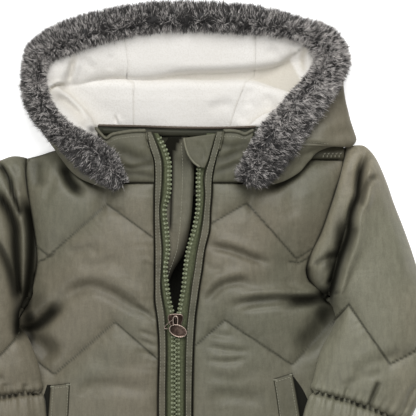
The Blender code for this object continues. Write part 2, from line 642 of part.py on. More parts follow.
def welt(side, finish, collection):
    """The slanted pocket welt, on the front panel's points moved out, open on its outer side."""
    grid = []
    for row in WELT_ROWS:
        inner, outer = getattr(row, side + "_in"), getattr(row, side + "_out")
        line = []
        for part in (0.0, 0.5, 1.0):
            x = inner + (outer - inner) * part
            lift = WELT_WALL + 0.8 + WELT_OPEN_LIFT * part
            line.append((x, row.y, front_height_at(side, x, row.y) + lift))
        grid.append(line)
    return sheet("welt_" + side, grid, WELT_WALL, finish, collection, flip=side == "right")


def prism(name, outline, length, frame, finish, collection):
    """A flat outline in millimetres, drawn out along its own third axis and centred on it."""
    work = bmesh.new()
    base = [work.verts.new(Vector((u, v, -length / 2)) * MM) for u, v in outline]
    face = work.faces.new(base)
    grown = bmesh.ops.extrude_face_region(work, geom=[face])
    lifted = [item for item in grown["geom"] if isinstance(item, bmesh.types.BMVert)]
    bmesh.ops.translate(work, verts=lifted, vec=Vector((0, 0, length * MM)))
    bmesh.ops.recalc_face_normals(work, faces=work.faces)
    mesh = bpy.data.meshes.new(name)
    work.to_mesh(mesh)
    work.free()
    mesh.transform(frame)
    return add_object(name, mesh, finish, collection)


def slider_level():
    """Height of the middle of the tapes where the slider runs."""
    return zip_height(SLIDER_Y) - STRIP_WALL - SEAM_GAP - TAPE_WALL / 2


def pull_axis():
    """The point of the slider's lug that the pull swings about."""
    z = slider_level() + SLIDER_SLOT / 2 + SLIDER_PLATE + LUG_HOLE / 2
    return Vector((SLIDER_X, SLIDER_Y, z))


def slider(finish, collection, tools):
    """Two plates joined by a web between the tapes, with an arched lug on the upper plate."""
    half, web = SLIDER_WIDTH / 2, SLIDER_WEB / 2
    slot, plate = SLIDER_SLOT / 2, SLIDER_SLOT / 2 + SLIDER_PLATE
    outline = ((-half, -plate), (half, -plate), (half, -slot), (web, -slot), (web, slot),
               (half, slot), (half, plate), (-half, plate), (-half, slot), (-web, slot),
               (-web, -slot), (-half, -slot))
    seat = Matrix.Translation(Vector((SLIDER_X, SLIDER_Y, slider_level())) * MM)
    along_y = Matrix.Rotation(pi / 2, 4, "X")
    made = prism("slider_body", outline, SLIDER_LENGTH, seat @ along_y, finish, collection)
    leg, low, high = LUG_LENGTH / 2, plate - 0.5, plate + LUG_HOLE
    arch = ((-leg, low), (-leg, high), (-leg + LUG_BAR, high + LUG_BAR),
            (leg - LUG_BAR, high + LUG_BAR), (leg, high), (leg, low),
            (leg - LUG_BAR, low), (leg - LUG_BAR, high), (-leg + LUG_BAR, high),
            (-leg + LUG_BAR, low))
    along_x = Matrix(((0, 0, 1, 0), (1, 0, 0, 0), (0, 1, 0, 0), (0, 0, 0, 1)))
    lug = prism("lug_tool", arch, LUG_WIDTH, seat @ along_x, finish, tools)
    lug.hide_render = True
    lug.display_type = "WIRE"
    join = made.modifiers.new("lug", "BOOLEAN")
    join.operation = "UNION"
    join.object = lug
    return made


def pull_link(axis, finish, collection):
    """A bent wire through the lug, both ends reaching down to the disc."""
    corner = 0.9
    points = ((-LINK_SPREAD, -LINK_LENGTH), (-LINK_SPREAD, -corner), (-LINK_SPREAD + corner, 0),
              (LINK_SPREAD - corner, 0), (LINK_SPREAD, -corner), (LINK_SPREAD, -LINK_LENGTH))
    curve = bpy.data.curves.new("pull_link", "CURVE")
    curve.dimensions = "3D"
    curve.bevel_depth = LINK_WIRE * MM
    curve.bevel_resolution = 2
    curve.use_fill_caps = True
    spline = curve.splines.new("POLY")
    spline.points.add(len(points) - 1)
    for point, (x, y) in zip(spline.points, points):
        point.co = (x * MM, y * MM, 0, 1)
    made = add_object("pull_link", curve, finish, collection)
    made.parent = axis
    return made


def pull_disc(axis, finish, collection):
    """The oval disc on the link's ends, its longer axis a little askew."""
    work = bmesh.new()
    bmesh.ops.create_cone(work, cap_ends=True, segments=28, radius1=0.5, radius2=0.5, depth=1.0)
    shape = Matrix.Diagonal((DISC_LENGTH * MM, DISC_HEIGHT * MM, DISC_THICK * MM, 1))
    bmesh.ops.transform(work, matrix=Matrix.Rotation(radians(DISC_TURN), 4, "Z") @ shape,
                        verts=work.verts)
    mesh = bpy.data.meshes.new("pull_disc")
    work.to_mesh(mesh)
    work.free()
    made = add_object("pull_disc", mesh, finish, collection)
    made.parent = axis
    turn = radians(DISC_TURN)
    reach = LINK_LENGTH + hypot(DISC_LENGTH * sin(turn), DISC_HEIGHT * cos(turn)) / 2 + SEAM_GAP
    made.location = Vector((DISC_SHIFT, -reach, 0)) * MM
    return made


def build():
    for old in list(bpy.data.objects):
        bpy.data.objects.remove(old, do_unlink=True)
    jacket = bpy.data.collections.new("baby_winter_jacket")
    tools = bpy.data.collections.new("cutters")
    bpy.context.scene.collection.children.link(jacket)
    bpy.context.scene.collection.children.link(tools)

    satin = material("olive_satin", (0.167, 0.155, 0.120), 0.42)
    trim = material("olive_trim", (0.135, 0.125, 0.092), 0.5)
    tape = material("green_tape", (0.089, 0.095, 0.054), 0.8)
    fleece = material("offwhite_fleece", (0.80, 0.78, 0.75), 0.95)
    fur = material("grey_fur", (0.10, 0.092, 0.088), 0.9)
    bronze = material("bronze", (0.16, 0.10, 0.075), 0.35, 1.0)

    back_panel(satin, jacket)
    arms = (("right", SLEEVE_RIGHT_ROWS, CUFF_RIGHT_ROWS),
            ("left", SLEEVE_LEFT_ROWS, CUFF_LEFT_ROWS))
    for side, sleeve_rows, cuff_rows in arms:
        front_panel(side, satin, jacket)
        zip_strip(side, trim, jacket)
        zip_tape(side, tape, jacket)
        collar_front(side, satin, jacket)
        sleeve(side, sleeve_rows, satin, jacket)
        cuff(side, cuff_rows, satin, jacket)
        welt(side, trim, jacket)
    wind_flap(satin, jacket)
    chin_guard(trim, jacket)
    collar_back(trim, jacket)
    hood_centre(satin, jacket)
    hood_side("right", HOOD_RIGHT_ROWS, satin, jacket)
    hood_side("left", HOOD_LEFT_ROWS, satin, jacket)
    fleece_centre(fleece, jacket)
    fleece_side("right", FLEECE_RIGHT_ROWS, fleece, jacket)
    fleece_side("left", FLEECE_LEFT_ROWS, fleece, jacket)
    fur_trim(fur, jacket)

    slider(bronze, jacket, tools)
    axis = bpy.data.objects.new("pull_axis", None)
    axis.location = pull_axis() * MM
    jacket.objects.link(axis)
    pull_link(axis, bronze, jacket)
    pull_disc(axis, bronze, jacket)


build()
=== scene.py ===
"""Looks of the baby winter jacket: quilted satin shell, knit fleece hood, long-pile trim and zip.

Lengths are in millimetres until a mesh is made. +X is the wearer's left, +Y runs up to the hood,
and the back lies on z = 0. Creases, seams and edges seen from the front are given in pixels of
the reference photograph, counted right and down from its upper left corner. A pixel is 0.9 mm on
the jacket.
"""

from collections import namedtuple
from math import cos, hypot, pi, radians, sin, sqrt

import bmesh
import bpy
import numpy as np
from mathutils import Matrix, Vector
from mathutils.bvhtree import BVHTree


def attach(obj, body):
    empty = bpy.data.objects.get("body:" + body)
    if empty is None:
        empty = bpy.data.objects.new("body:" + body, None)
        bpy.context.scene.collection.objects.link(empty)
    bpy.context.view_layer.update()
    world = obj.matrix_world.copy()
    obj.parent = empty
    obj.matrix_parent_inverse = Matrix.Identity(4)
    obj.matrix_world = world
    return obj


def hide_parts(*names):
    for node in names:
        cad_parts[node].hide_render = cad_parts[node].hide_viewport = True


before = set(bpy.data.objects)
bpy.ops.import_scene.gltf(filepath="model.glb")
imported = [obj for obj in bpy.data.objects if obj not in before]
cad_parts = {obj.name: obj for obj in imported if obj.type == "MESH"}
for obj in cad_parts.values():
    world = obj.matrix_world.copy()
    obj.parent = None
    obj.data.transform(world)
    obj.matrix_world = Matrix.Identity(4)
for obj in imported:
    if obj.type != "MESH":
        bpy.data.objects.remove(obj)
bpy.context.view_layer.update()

MM = 0.001
PIXEL = 0.9
ORIGIN_PIXEL = (176.0, 266.0)
CURVE_STEP = 4.0

STEP = 1.8
PUFF = 4.8
PUFF_REACH = 7.5
PUFF_SUNK = 0.66

SEAM_GAP = 0.3
STRIP_WALL = 1.8
TAPE_WALL = 1.0
HEM_Y = -237.6
SIDE_SEAM_Z = 8.3
ARMHOLE_RISE = 7.0
ARMPIT_Y = -27.0
SHOULDER_Y = 97.0
SHOULDER_RUN = 60.0
CROWN_FALL = 2.5
NECK_SEAM_Y = 74.7
SIDES = ("right", "left")
SIGN = {"right": -1, "left": 1}

FRONT_LENGTH, FRONT_WIDTH = 325, 126
FRONT_SEED = {"right": 3, "left": 8}
BACK_ROWS, BACK_COLUMNS = 106, 98
SLEEVE_STEP, CUFF_STEP = 1.75, 1.7
SLEEVE_SEED = {"right": 4, "left": 9}
FLEECE_ROWS, FLEECE_COLUMNS, FLEECE_SIDE_COLUMNS, FLEECE_STEP = 82, 80, 58, 1.6
NARROWEST = 0.01


# ---------------------------------------------------------------- lines and smooth surfaces

def through(values, stops, at):
    """Values at the places `at`, on smooth lines through those at `stops`."""
    slope = np.gradient(values, stops, axis=0)
    i = np.clip(np.searchsorted(stops, at, side="right") - 1, 0, len(stops) - 2)
    wide = stops[i + 1] - stops[i]
    part = (at - stops[i]) / wide
    if values.ndim > 1:
        column = (-1,) + (1,) * (values.ndim - 1)
        part = part.reshape(column)
        wide = wide.reshape(column)
    square, cube = part ** 2, part ** 3
    return ((2 * cube - 3 * square + 1) * values[i]
            + (cube - 2 * square + part) * wide * slope[i]
            + (3 * square - 2 * cube) * values[i + 1]
            + (cube - square) * wide * slope[i + 1])


class Line:
    """A value that changes smoothly in one direction, through a few known stops."""

    def __init__(self, stops):
        self.at, self.value = np.array(sorted(stops), float).T

    def __call__(self, at):
        held = np.clip(np.asarray(at, float), self.at[0], self.at[-1])
        return through(self.value, self.at, held)


def spaced(values, step, ring=False):
    """Points `step` apart along smooth lines through the given ones, in the first direction."""
    values = np.asarray(values, float)
    if ring:
        values = np.concatenate((values[-2:], values, values[:3]))
    gaps = np.linalg.norm(np.diff(values, axis=0), axis=-1)
    gaps = gaps.reshape(len(gaps), -1).mean(axis=1) + 1e-6
    stops = np.concatenate(([0.0], np.cumsum(gaps)))
    first, last = (stops[2], stops[-3]) if ring else (0.0, stops[-1])
    count = max(2, round((last - first) / step) + 1)
    made = through(values, stops, np.linspace(first, last, count))
    return made[:-1] if ring else made


def woven(grid, step, ring=False):
    """A fine grid of points through a coarse one."""
    rows = spaced(np.array(grid, float), step)
    return spaced(rows.swapaxes(0, 1), step, ring).swapaxes(0, 1)


def straight(path, step):
    """Points `step` apart along a path with corners."""
    path = np.asarray(path, float)
    run = np.concatenate(([0.0], np.cumsum(np.linalg.norm(np.diff(path, axis=0), axis=1))))
    marks = np.linspace(0.0, run[-1], max(2, round(run[-1] / step) + 1))
    return np.stack([np.interp(marks, run, column) for column in path.T], axis=1)


def ease(part):
    part = np.clip(part, 0, 1)
    return part * part * (3 - 2 * part)


def plan(*pixels):
    """Millimetres across and up, for pixels of the photograph."""
    spots = np.array(pixels, float)
    return np.stack(((spots[:, 0] - ORIGIN_PIXEL[0]) * PIXEL,
                     (ORIGIN_PIXEL[1] - spots[:, 1]) * PIXEL), axis=1)


def curved(*pixels):
    """A smooth path through pixels of the photograph."""
    return spaced(plan(*pixels), CURVE_STEP)


def beside(x, y, path):
    """Distance from a path, the side of it (left is 1), and how far along it and its length."""
    gap = np.full(np.shape(x), np.inf)
    side = np.zeros(np.shape(x))
    along = np.zeros(np.shape(x))
    run = 0.0
    for (ax, ay), (bx, by) in zip(path[:-1], path[1:]):
        dx, dy = bx - ax, by - ay
        length = hypot(dx, dy)
        part = np.clip(((x - ax) * dx + (y - ay) * dy) / length ** 2, 0, 1)
        off_x, off_y = x - ax - part * dx, y - ay - part * dy
        off = np.hypot(off_x, off_y)
        nearer = off < gap
        gap = np.where(nearer, off, gap)
        side = np.where(nearer, np.sign(dx * off_y - dy * off_x), side)
        along = np.where(nearer, run + part * length, along)
        run += length
    return gap, side, along, run


def fading(along, run, share):
    return ease(along / (run * share)) * ease((run - along) / (run * share))


def trough(x, y, path, width, depth, lean=0.0, fade=0.3):
    """A soft fold sunk along a path, with a lip raised on its left where lean is above 0."""
    gap, side, along, run = beside(x, y, path)
    away = gap * side / width
    sunk = np.exp(-away ** 2)
    lip = lean * np.exp(-(away - 1.7) ** 2)
    return depth * (lip - sunk) * fading(along, run, fade)


def ledge(x, y, path, height, soft, reach, fade=0.2):
    """Cloth that stands higher on the left of a path and falls back further from it."""
    gap, side, along, run = beside(x, y, path)
    lifted = 0.5 * (1 + np.tanh(gap * side / soft)) * np.exp(-(gap / reach) ** 2)
    return height * lifted * fading(along, run, fade)


def knoll(x, y, pixel_x, pixel_y, wide, high, rise):
    """A soft rise of the cloth about a pixel of the photograph."""
    (mid_x, mid_y), = plan((pixel_x, pixel_y))
    return rise * np.exp(-((x - mid_x) / wide) ** 2 - ((y - mid_y) / high) ** 2)


def puffed(x, y, seams, rise, reach):
    """How far padding stands up between rows of stitches, sunk to 0 at each."""
    height = np.full(np.shape(x), float(rise))
    for path in seams:
        gap = beside(x, y, path)[0]
        height *= 1 - np.exp(-gap / reach)
    return height


def puckers(x, y, path, size, pitch, reach, seed):
    """Short ripples across a row of stitches, dying out beside it."""
    gap, side, along = beside(x, y, path)[:3]
    bend = 2.6 * np.sin(along / 13.0 + seed) + 1.6 * np.sin(along / 5.7 + 2 * seed + side)
    strong = 0.55 + 0.45 * np.sin(along / 8.3 + 3 * seed + 1.7 * side)
    wave = strong * np.sin(2 * pi * along / pitch + bend)
    return size * wave * np.exp(-gap / reach) * (1 - np.exp(-gap / 1.2))


def unevenness(x, y, size, seed):
    """Soft random ups and downs of about `size` across, between -1 and 1."""
    dice = np.random.default_rng(seed)
    total = 0.0
    for turn, start, stretch in dice.uniform((0, 0, 0.7), (pi, 2 * pi, 1.6), (6, 3)):
        total = total + np.sin((x * cos(turn) + y * sin(turn)) / (size * stretch) + start)
    return total / 6


def laid(x, y, z):
    """A grid of points from their coordinates, each of which may be a row or a column."""
    return np.stack(np.broadcast_arrays(x, y, z), axis=2)


def facing_up(side, *grids):
    """The grids with their columns turned round on the wearer's right, so that both sides face up."""
    return [grid[:, ::-1] for grid in grids] if side == "right" else list(grids)


def round_path(path, aside, sides):
    """Directions round each point of a path, and the angle of each."""
    way = np.gradient(path, axis=0)
    way /= np.linalg.norm(way, axis=1, keepdims=True)
    across = np.cross(aside, way)
    across /= np.linalg.norm(across, axis=1, keepdims=True) + 1e-9
    rise = np.cross(way, across)
    angle = np.arange(sides) * 2 * pi / sides
    return (across[:, None] * np.cos(angle)[None, :, None]
            + rise[:, None] * np.sin(angle)[None, :, None]), angle


def outward(grid, ring=False):
    """The direction that a surface faces at each of its points."""
    if ring:
        wrapped = np.concatenate((grid[:, -1:], grid, grid[:, :1]), axis=1)
        across = wrapped[:, 2:] - wrapped[:, :-2]
    else:
        across = np.gradient(grid, axis=1)
    faces = np.cross(np.gradient(grid, axis=0), across)
    return faces / (np.linalg.norm(faces, axis=2, keepdims=True) + 1e-9)


# ---------------------------------------------------------------- dyes and finishes

class Amount:
    """A value worked out over a surface. Sums and products of it add the nodes they need."""

    def __init__(self, dye, socket):
        self.dye = dye
        self.socket = socket

    def __add__(self, other):
        return self.dye.worked("ADD", self, other)

    def __radd__(self, other):
        return self.dye.worked("ADD", other, self)

    def __sub__(self, other):
        return self.dye.worked("SUBTRACT", self, other)

    def __rsub__(self, other):
        return self.dye.worked("SUBTRACT", other, self)

    def __mul__(self, other):
        return self.dye.worked("MULTIPLY", self, other)

    def __rmul__(self, other):
        return self.dye.worked("MULTIPLY", other, self)


class Dye:
    """One finish: a shader, and the patterns that feed it."""

    def __init__(self, name, plain):
        self.material = bpy.data.materials.new(name)
        self.material.use_nodes = True
        self.tree = self.material.node_tree
        self.shader = self.tree.nodes["Principled BSDF"]
        for word, value in plain.items():
            self.feed(self.shader.inputs[word], value)
        self.place = self.node("ShaderNodeTexCoord").outputs["Object"]

    def feed(self, socket, value):
        if isinstance(value, Amount):
            value = value.socket
        if isinstance(value, bpy.types.NodeSocket):
            self.tree.links.new(value, socket)
        elif isinstance(value, tuple) and len(value) == 3 and socket.type == "RGBA":
            socket.default_value = (*value, 1.0)
        else:
            socket.default_value = value

    def node(self, kind, settings=None, sockets=None):
        made = self.tree.nodes.new(kind)
        for name, value in (settings or {}).items():
            setattr(made, name, value)
        for name, value in (sockets or {}).items():
            self.feed(made.inputs[name], value)
        return made

    def worked(self, operation, first, second):
        made = self.node("ShaderNodeMath", {"operation": operation}, {0: first, 1: second})
        return Amount(self, made.outputs[0])

    def stretched(self, scale, turn=0.0):
        """The piece's own coordinates, stretched and turned about Z."""
        made = self.node("ShaderNodeMapping", None, {
            "Vector": self.place, "Rotation": (0.0, 0.0, turn), "Scale": scale})
        return made.outputs[0]

    def noise(self, scale, detail=2.0, rough=0.5, place=None, distortion=0.0):
        made = self.node("ShaderNodeTexNoise", None, {
            "Vector": place or self.place, "Scale": scale, "Detail": detail,
            "Roughness": rough, "Distortion": distortion})
        return Amount(self, made.outputs[0])

    def bands(self, scale, direction, distortion=0.0):
        made = self.node("ShaderNodeTexWave", {"bands_direction": direction}, {
            "Vector": self.place, "Scale": scale, "Distortion": distortion, "Detail": 1.0})
        return Amount(self, made.outputs["Fac"])

    def spread(self, value, low, high):
        """0 below `low`, 1 above `high` and a smooth step between."""
        made = self.node("ShaderNodeMapRange", {"interpolation_type": "SMOOTHSTEP"}, {
            "Value": value, "From Min": low, "From Max": high})
        return Amount(self, made.outputs[0])

    def mixed(self, part, first, second):
        made = self.node("ShaderNodeMix", {"data_type": "RGBA"}, {0: part, 6: first, 7: second})
        return made.outputs[2]

    def known(self, name):
        """A value that the mesh itself carries, point by point."""
        return self.node("ShaderNodeAttribute", {"attribute_name": name})

    def relief(self, *layers):
        """Bumps from the broadest to the finest: pairs of a height and how deep it is in mm."""
        below = None
        for height, depth in layers:
            sockets = {"Height": height, "Distance": depth * MM, "Strength": 1.0}
            if below is not None:
                sockets["Normal"] = below
            below = self.node("ShaderNodeBump", None, sockets).outputs[0]
        self.feed(self.shader.inputs["Normal"], below)

    def darkened(self, part):
        """Mixes in a dull black by `part`: painted shade for the bottoms of folds and seams."""
        black = self.node("ShaderNodeBsdfPrincipled", None, {
            "Base Color": (0.004, 0.004, 0.003), "Roughness": 1.0, "Specular IOR Level": 0.0})
        blend = self.node("ShaderNodeMixShader", None, {
            0: part, 1: self.shader.outputs[0], 2: black.outputs[0]})
        self.feed(self.tree.nodes["Material Output"].inputs["Surface"], blend.outputs[0])

    def coloured(self, colour, roughness=None):
        self.feed(self.shader.inputs["Base Color"], colour)
        if roughness is not None:
            self.feed(self.shader.inputs["Roughness"], roughness)


def satin(name, warm, cool, shine=0.44):
    """Downproof satin: fine twill, soft shine, two tones that drift over the cloth."""
    dye = Dye(name, {"Specular IOR Level": 0.36, "Sheen Weight": 0.12, "Sheen Roughness": 0.35,
                     "Sheen Tint": (0.9, 0.88, 0.78)})
    drift = dye.spread(dye.noise(9.0, 2.0, 0.5), 0.34, 0.68)
    fine = dye.noise(1500.0, 2.0)
    flecks = dye.noise(260.0, 3.0, 0.7, dye.stretched((1.0, 0.25, 1.0), radians(38)))
    twill = dye.bands(640.0, "DIAGONAL", 0.4)
    # Painted shade: by the mesh's sunk value a dull black is mixed in, deepest in folds, seams and
    # crevices.
    sunk = Amount(dye, dye.known("sunk").outputs["Fac"])
    tone = dye.mixed(drift, warm, cool)
    darker = dye.mixed(0.3, tone, (0.02, 0.02, 0.012))
    tone = dye.mixed(dye.spread(fine * 0.5 + flecks * 0.5, 0.35, 0.65), darker, tone)
    dye.coloured(tone, shine + 0.16 * flecks - 0.05 * twill)
    dye.darkened(sunk * 0.95)
    wrinkles = dye.noise(30.0, 3.0, 0.5, dye.stretched((1.0, 1.7, 1.0), radians(20)), 0.3)
    dye.relief((wrinkles, 1.6), (flecks, 0.08), (twill, 0.03))
    return dye


def fleece_dye():
    dye = Dye("offwhite_fleece", {"Roughness": 0.95, "Specular IOR Level": 0.2,
                                  "Sheen Weight": 0.35, "Sheen Roughness": 0.6,
                                  "Sheen Tint": (1.0, 0.99, 0.96)})
    nap = dye.noise(700.0, 4.0, 0.7)
    tufts = dye.noise(170.0, 3.0, 0.6)
    cloud = dye.spread(dye.noise(16.0, 2.0), 0.35, 0.65)
    white = dye.mixed(cloud, (0.77, 0.75, 0.715), (0.81, 0.79, 0.755))
    shade = dye.mixed(dye.spread(nap, 0.3, 0.6), (0.72, 0.695, 0.65), white)
    # Painted shade: the mesh's sunk value turns the fleece a warm beige in its folds, hollows and
    # valley.
    painted_crease_shade = Amount(dye, dye.known("sunk").outputs["Fac"])
    dye.coloured(dye.mixed(painted_crease_shade * 0.8, shade, (0.47, 0.425, 0.33)))
    dye.relief((tufts, 0.35), (nap, 0.22))
    return dye


def fur_dye():
    dye = Dye("grey_fur", {"Specular IOR Level": 0.35, "Sheen Weight": 0.1})
    hair = dye.known("hair").outputs["Color"]
    fine = dye.spread(dye.noise(420.0, 2.0), 0.35, 0.65)
    darker = dye.mixed(0.35, hair, (0.012, 0.011, 0.011))
    dye.coloured(dye.mixed(fine, darker, hair), 0.52 + 0.2 * fine)
    dye.relief((fine, 0.05))
    return dye


def tape_dye():
    dye = Dye("green_tape", {"Specular IOR Level": 0.3, "Sheen Weight": 0.1})
    ribs = dye.bands(330.0, "Y")
    yarn = dye.noise(900.0, 2.0, 0.6)
    green = dye.mixed(dye.spread(yarn, 0.3, 0.7), (0.056, 0.064, 0.028), (0.115, 0.128, 0.066))
    # Painted shade: where the tape runs under the strips' edges, the mesh's sunk value mixes in a
    # dull black.
    edge = Amount(dye, dye.known("sunk").outputs["Fac"])
    ribbed = dye.mixed(ribs * 0.35, green, (0.03, 0.034, 0.018))
    dye.coloured(ribbed, 0.7 + 0.1 * yarn)
    dye.darkened(edge * 0.9)
    dye.relief((ribs, 0.12), (yarn, 0.05))
    return dye


def teeth_dye():
    dye = Dye("green_teeth", {"Specular IOR Level": 0.5})
    mottle = dye.spread(dye.noise(260.0, 2.0), 0.35, 0.65)
    dye.coloured(dye.mixed(mottle, (0.16, 0.180, 0.105), (0.24, 0.265, 0.165)), 0.33 + 0.1 * mottle)
    dye.relief((mottle, 0.05))
    return dye


def thread_dye(name, dark, light):
    dye = Dye(name, {"Specular IOR Level": 0.4})
    twist = dye.bands(1500.0, "DIAGONAL", 0.3)
    dye.coloured(dye.mixed(twist, dark, light), 0.55 + 0.1 * twist)
    dye.relief((twist, 0.04))
    return dye


def bronze_dye(name, dark, light):
    dye = Dye(name, {"Metallic": 1.0})
    patina = dye.spread(dye.noise(190.0, 4.0, 0.65), 0.36, 0.68)
    brushed = dye.noise(420.0, 3.0, 0.6, dye.stretched((1.0, 9.0, 1.0), radians(20)))
    metal = dye.mixed(patina, dark, light)
    # Paler metal where the mesh says: worn rims, and a painted highlight along the upper side of each
    # wire.
    worn_and_highlit = Amount(dye, dye.known("worn_and_highlit").outputs["Fac"])
    dye.coloured(dye.mixed(worn_and_highlit * 0.8, metal, (0.62, 0.5, 0.42)), 0.3 + 0.2 * patina)
    dye.relief((patina, 0.04), (brushed, 0.015))
    return dye


def dark_dye():
    # Near-black cloth: painted shadow inside the jacket and in the pockets' mouths, over the lining
    # there.
    dye = Dye("lining_painted_shadow", {"Specular IOR Level": 0.15, "Sheen Weight": 0.05})
    yarn = dye.noise(800.0, 2.0)
    dye.coloured(dye.mixed(yarn, (0.006, 0.006, 0.004), (0.012, 0.012, 0.008)), 0.8 + 0.1 * yarn)
    dye.relief((yarn, 0.06))
    return dye


SHELL = satin("olive_satin", (0.178, 0.158, 0.111), (0.146, 0.142, 0.099))
TRIM = satin("olive_trim", (0.142, 0.127, 0.087), (0.121, 0.118, 0.080), 0.5)
# A lighter copy of the shell satin: painted light for the wearer's left sleeve, where the light falls
# brighter.
LIT_SHELL = satin("olive_satin_painted_light", (0.240, 0.214, 0.152), (0.206, 0.200, 0.142))
COLLAR = satin("olive_collar", (0.122, 0.110, 0.072), (0.106, 0.103, 0.067), 0.5)
# A darker copy of the satin: painted shade for the neck's inside, deep under the collar.
SHADED_NECK = satin("neck_satin_painted_shade", (0.040, 0.038, 0.022), (0.030, 0.032, 0.018), 0.6)
FLEECE = fleece_dye()
FUR = fur_dye()
TAPE = tape_dye()
TEETH = teeth_dye()
THREAD = thread_dye("olive_thread", (0.035, 0.036, 0.02), (0.085, 0.085, 0.055))
PALE_THREAD = thread_dye("pale_thread", (0.22, 0.215, 0.155), (0.38, 0.37, 0.29))
BRONZE = bronze_dye("bronze", (0.06, 0.040, 0.032), (0.13, 0.092, 0.074))
DARK_BRONZE = bronze_dye("dark_bronze", (0.022, 0.013, 0.010), (0.055, 0.036, 0.028))
DARK = dark_dye()


# ---------------------------------------------------------------- meshes

def dressed(made, dye, nodes=(), body="jacket"):
    made.data.materials.append(dye.material)
    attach(made, body)
    if nodes:
        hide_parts(*nodes)
    return made


def mesh_of(name, points, faces, values=None):
    mesh = bpy.data.meshes.new(name)
    mesh.from_pydata((np.asarray(points) * MM).tolist(), [], np.asarray(faces).tolist())
    for word, value in (values or {}).items():
        layer = mesh.attributes.new(word, "FLOAT", "POINT")
        layer.data.foreach_set("value", np.asarray(value, np.float32).ravel())
    mesh.shade_smooth()
    made = bpy.data.objects.new(name, mesh)
    bpy.context.scene.collection.objects.link(made)
    return made


def grid_faces(rows, columns, ring=False):
    index = np.arange(rows * columns).reshape(rows, columns)
    if ring:
        index = np.concatenate((index, index[:, :1]), axis=1)
    corners = (index[:-1, :-1], index[1:, :-1], index[1:, 1:], index[:-1, 1:])
    return np.stack(corners, axis=-1).reshape(-1, 4)


def measured(grid, ring):
    """Longest row, longest column and area of a grid, in metres."""
    closed = np.concatenate((grid, grid[:, :1]), axis=1) if ring else grid
    width = np.linalg.norm(np.diff(closed, axis=1), axis=2).sum(axis=1).max() * MM
    length = np.linalg.norm(np.diff(closed, axis=0), axis=2).sum(axis=0).max() * MM
    one = closed[1:, 1:] - closed[:-1, :-1]
    two = closed[1:, :-1] - closed[:-1, 1:]
    area = np.linalg.norm(np.cross(one, two), axis=2).sum() / 2 * MM * MM
    return width, length, area


def cloth(name, grid, wall, dye, ring=False, sunk=None,
          nodes=None, lined=None):
    """A sheet of cloth through the grid's points, its thickness on the inner side.

    A strip's measured width and length are raised to NARROWEST at least, and nothing further uses
    them. A strip narrower than NARROWEST is declared that wide, the least that a sheet may be.
    """
    rows, columns = grid.shape[:2]
    # sunk is painted shade, 0 to 1 at each point: the finishes mix in a dull black by it, or a beige
    # on the fleece.
    shade = np.zeros((rows, columns)) if sunk is None else np.clip(sunk, 0, 1)
    made = mesh_of(name + "_cloth", grid.reshape(-1, 3), grid_faces(rows, columns, ring),
                   {"sunk": shade})
    dressed(made, dye, (name,) if nodes is None else nodes)
    wall_up = made.modifiers.new("wall", "SOLIDIFY")
    wall_up.thickness = wall * MM
    wall_up.offset = -1.0
    if lined is not None:
        made.data.materials.append(lined.material)
        wall_up.material_offset = 1
    width, length, area = measured(grid, ring)
    width, length = max(width, NARROWEST), max(length, NARROWEST)


def surface_of(*grids):
    """Something to drop stitches onto."""
    points, faces = [], []
    for grid in grids:
        start = len(points)
        points.extend(grid.reshape(-1, 3).tolist())
        faces.extend((grid_faces(*grid.shape[:2]) + start).tolist())
    return BVHTree.FromPolygons(points, faces)


def dropped(surface, x, y, upward=False):
    """The point of a surface straight below a place, or above it when seen from beneath."""
    start, way = ((x, y, -100.0), (0, 0, 1)) if upward else ((x, y, 100.0), (0, 0, -1))
    found = surface.ray_cast(Vector(start), Vector(way))
    return found[0]


def copies(name, shape, places, dye):
    """One piece of many small copies: each place is an origin and three directions."""
    points, faces = np.array(shape[0]), np.array(shape[1])
    origins, frames = places
    spots = np.einsum("pk,nkj->npj", points, frames) + origins[:, None, :]
    shifts = np.arange(len(origins))[:, None, None] * len(points)
    every = (faces[None] + shifts).reshape(-1, faces.shape[1])
    dressed(mesh_of(name, spots.reshape(-1, 3), every), dye)


def bobbin(sides=6, rings=((-1.0, 0.25), (-0.62, 0.9), (0.0, 1.0), (0.62, 0.9), (1.0, 0.25))):
    """A thread's short float: a tapered rod along X, from -1 to 1."""
    points = []
    for along, wide in rings:
        for k in range(sides):
            angle = 2 * pi * k / sides
            points.append((along, wide * cos(angle), wide * sin(angle)))
    return np.array(points), grid_faces(len(rings), sides, ring=True)[:, ::-1]


def stitched(name, runs, surface, pitch=2.9, thick=0.3, lift=0.12, dye=THREAD, upward=False):
    """Rows of thread along paths, each stitch dropped onto the cloth."""
    origins, frames = [], []
    for run in runs:
        line = straight(run, pitch)
        for start, end in zip(line[:-1], line[1:]):
            ends = [dropped(surface, *(start + (end - start) * part), upward)
                    for part in (0.14, 0.86)]
            if None in ends:
                continue
            first, last = np.array(ends[0]), np.array(ends[1])
            way = last - first
            length = np.linalg.norm(way)
            if length > pitch * 1.6:
                continue
            way /= length
            across = np.cross((0, 0, 1.0), way)
            across /= np.linalg.norm(across)
            rise = np.cross(way, across)
            origins.append((first + last) / 2 + rise * (-lift if upward else lift))
            frames.append((way * length / 2, across * thick, rise * thick))
    copies(name, bobbin(), (np.array(origins), np.array(frames)), dye)


def piping(name, path, radius, dye, sides=8):
    """A corded edge along a path of points."""
    path = spaced(path, 1.4)
    ring = round_path(path, np.array([[0, 0, 1.0]]), sides)[0]
    size = radius * (1 + 0.07 * np.sin(np.arange(len(path)) * 1.9))[:, None, None]
    size[0] *= 0.4
    size[-1] *= 0.4
    points = path[:, None] + ring * size
    faces = grid_faces(len(path), sides, ring=True)[:, ::-1]
    dressed(mesh_of(name, points.reshape(-1, 3), faces), dye)


# ---------------------------------------------------------------- the body's forms

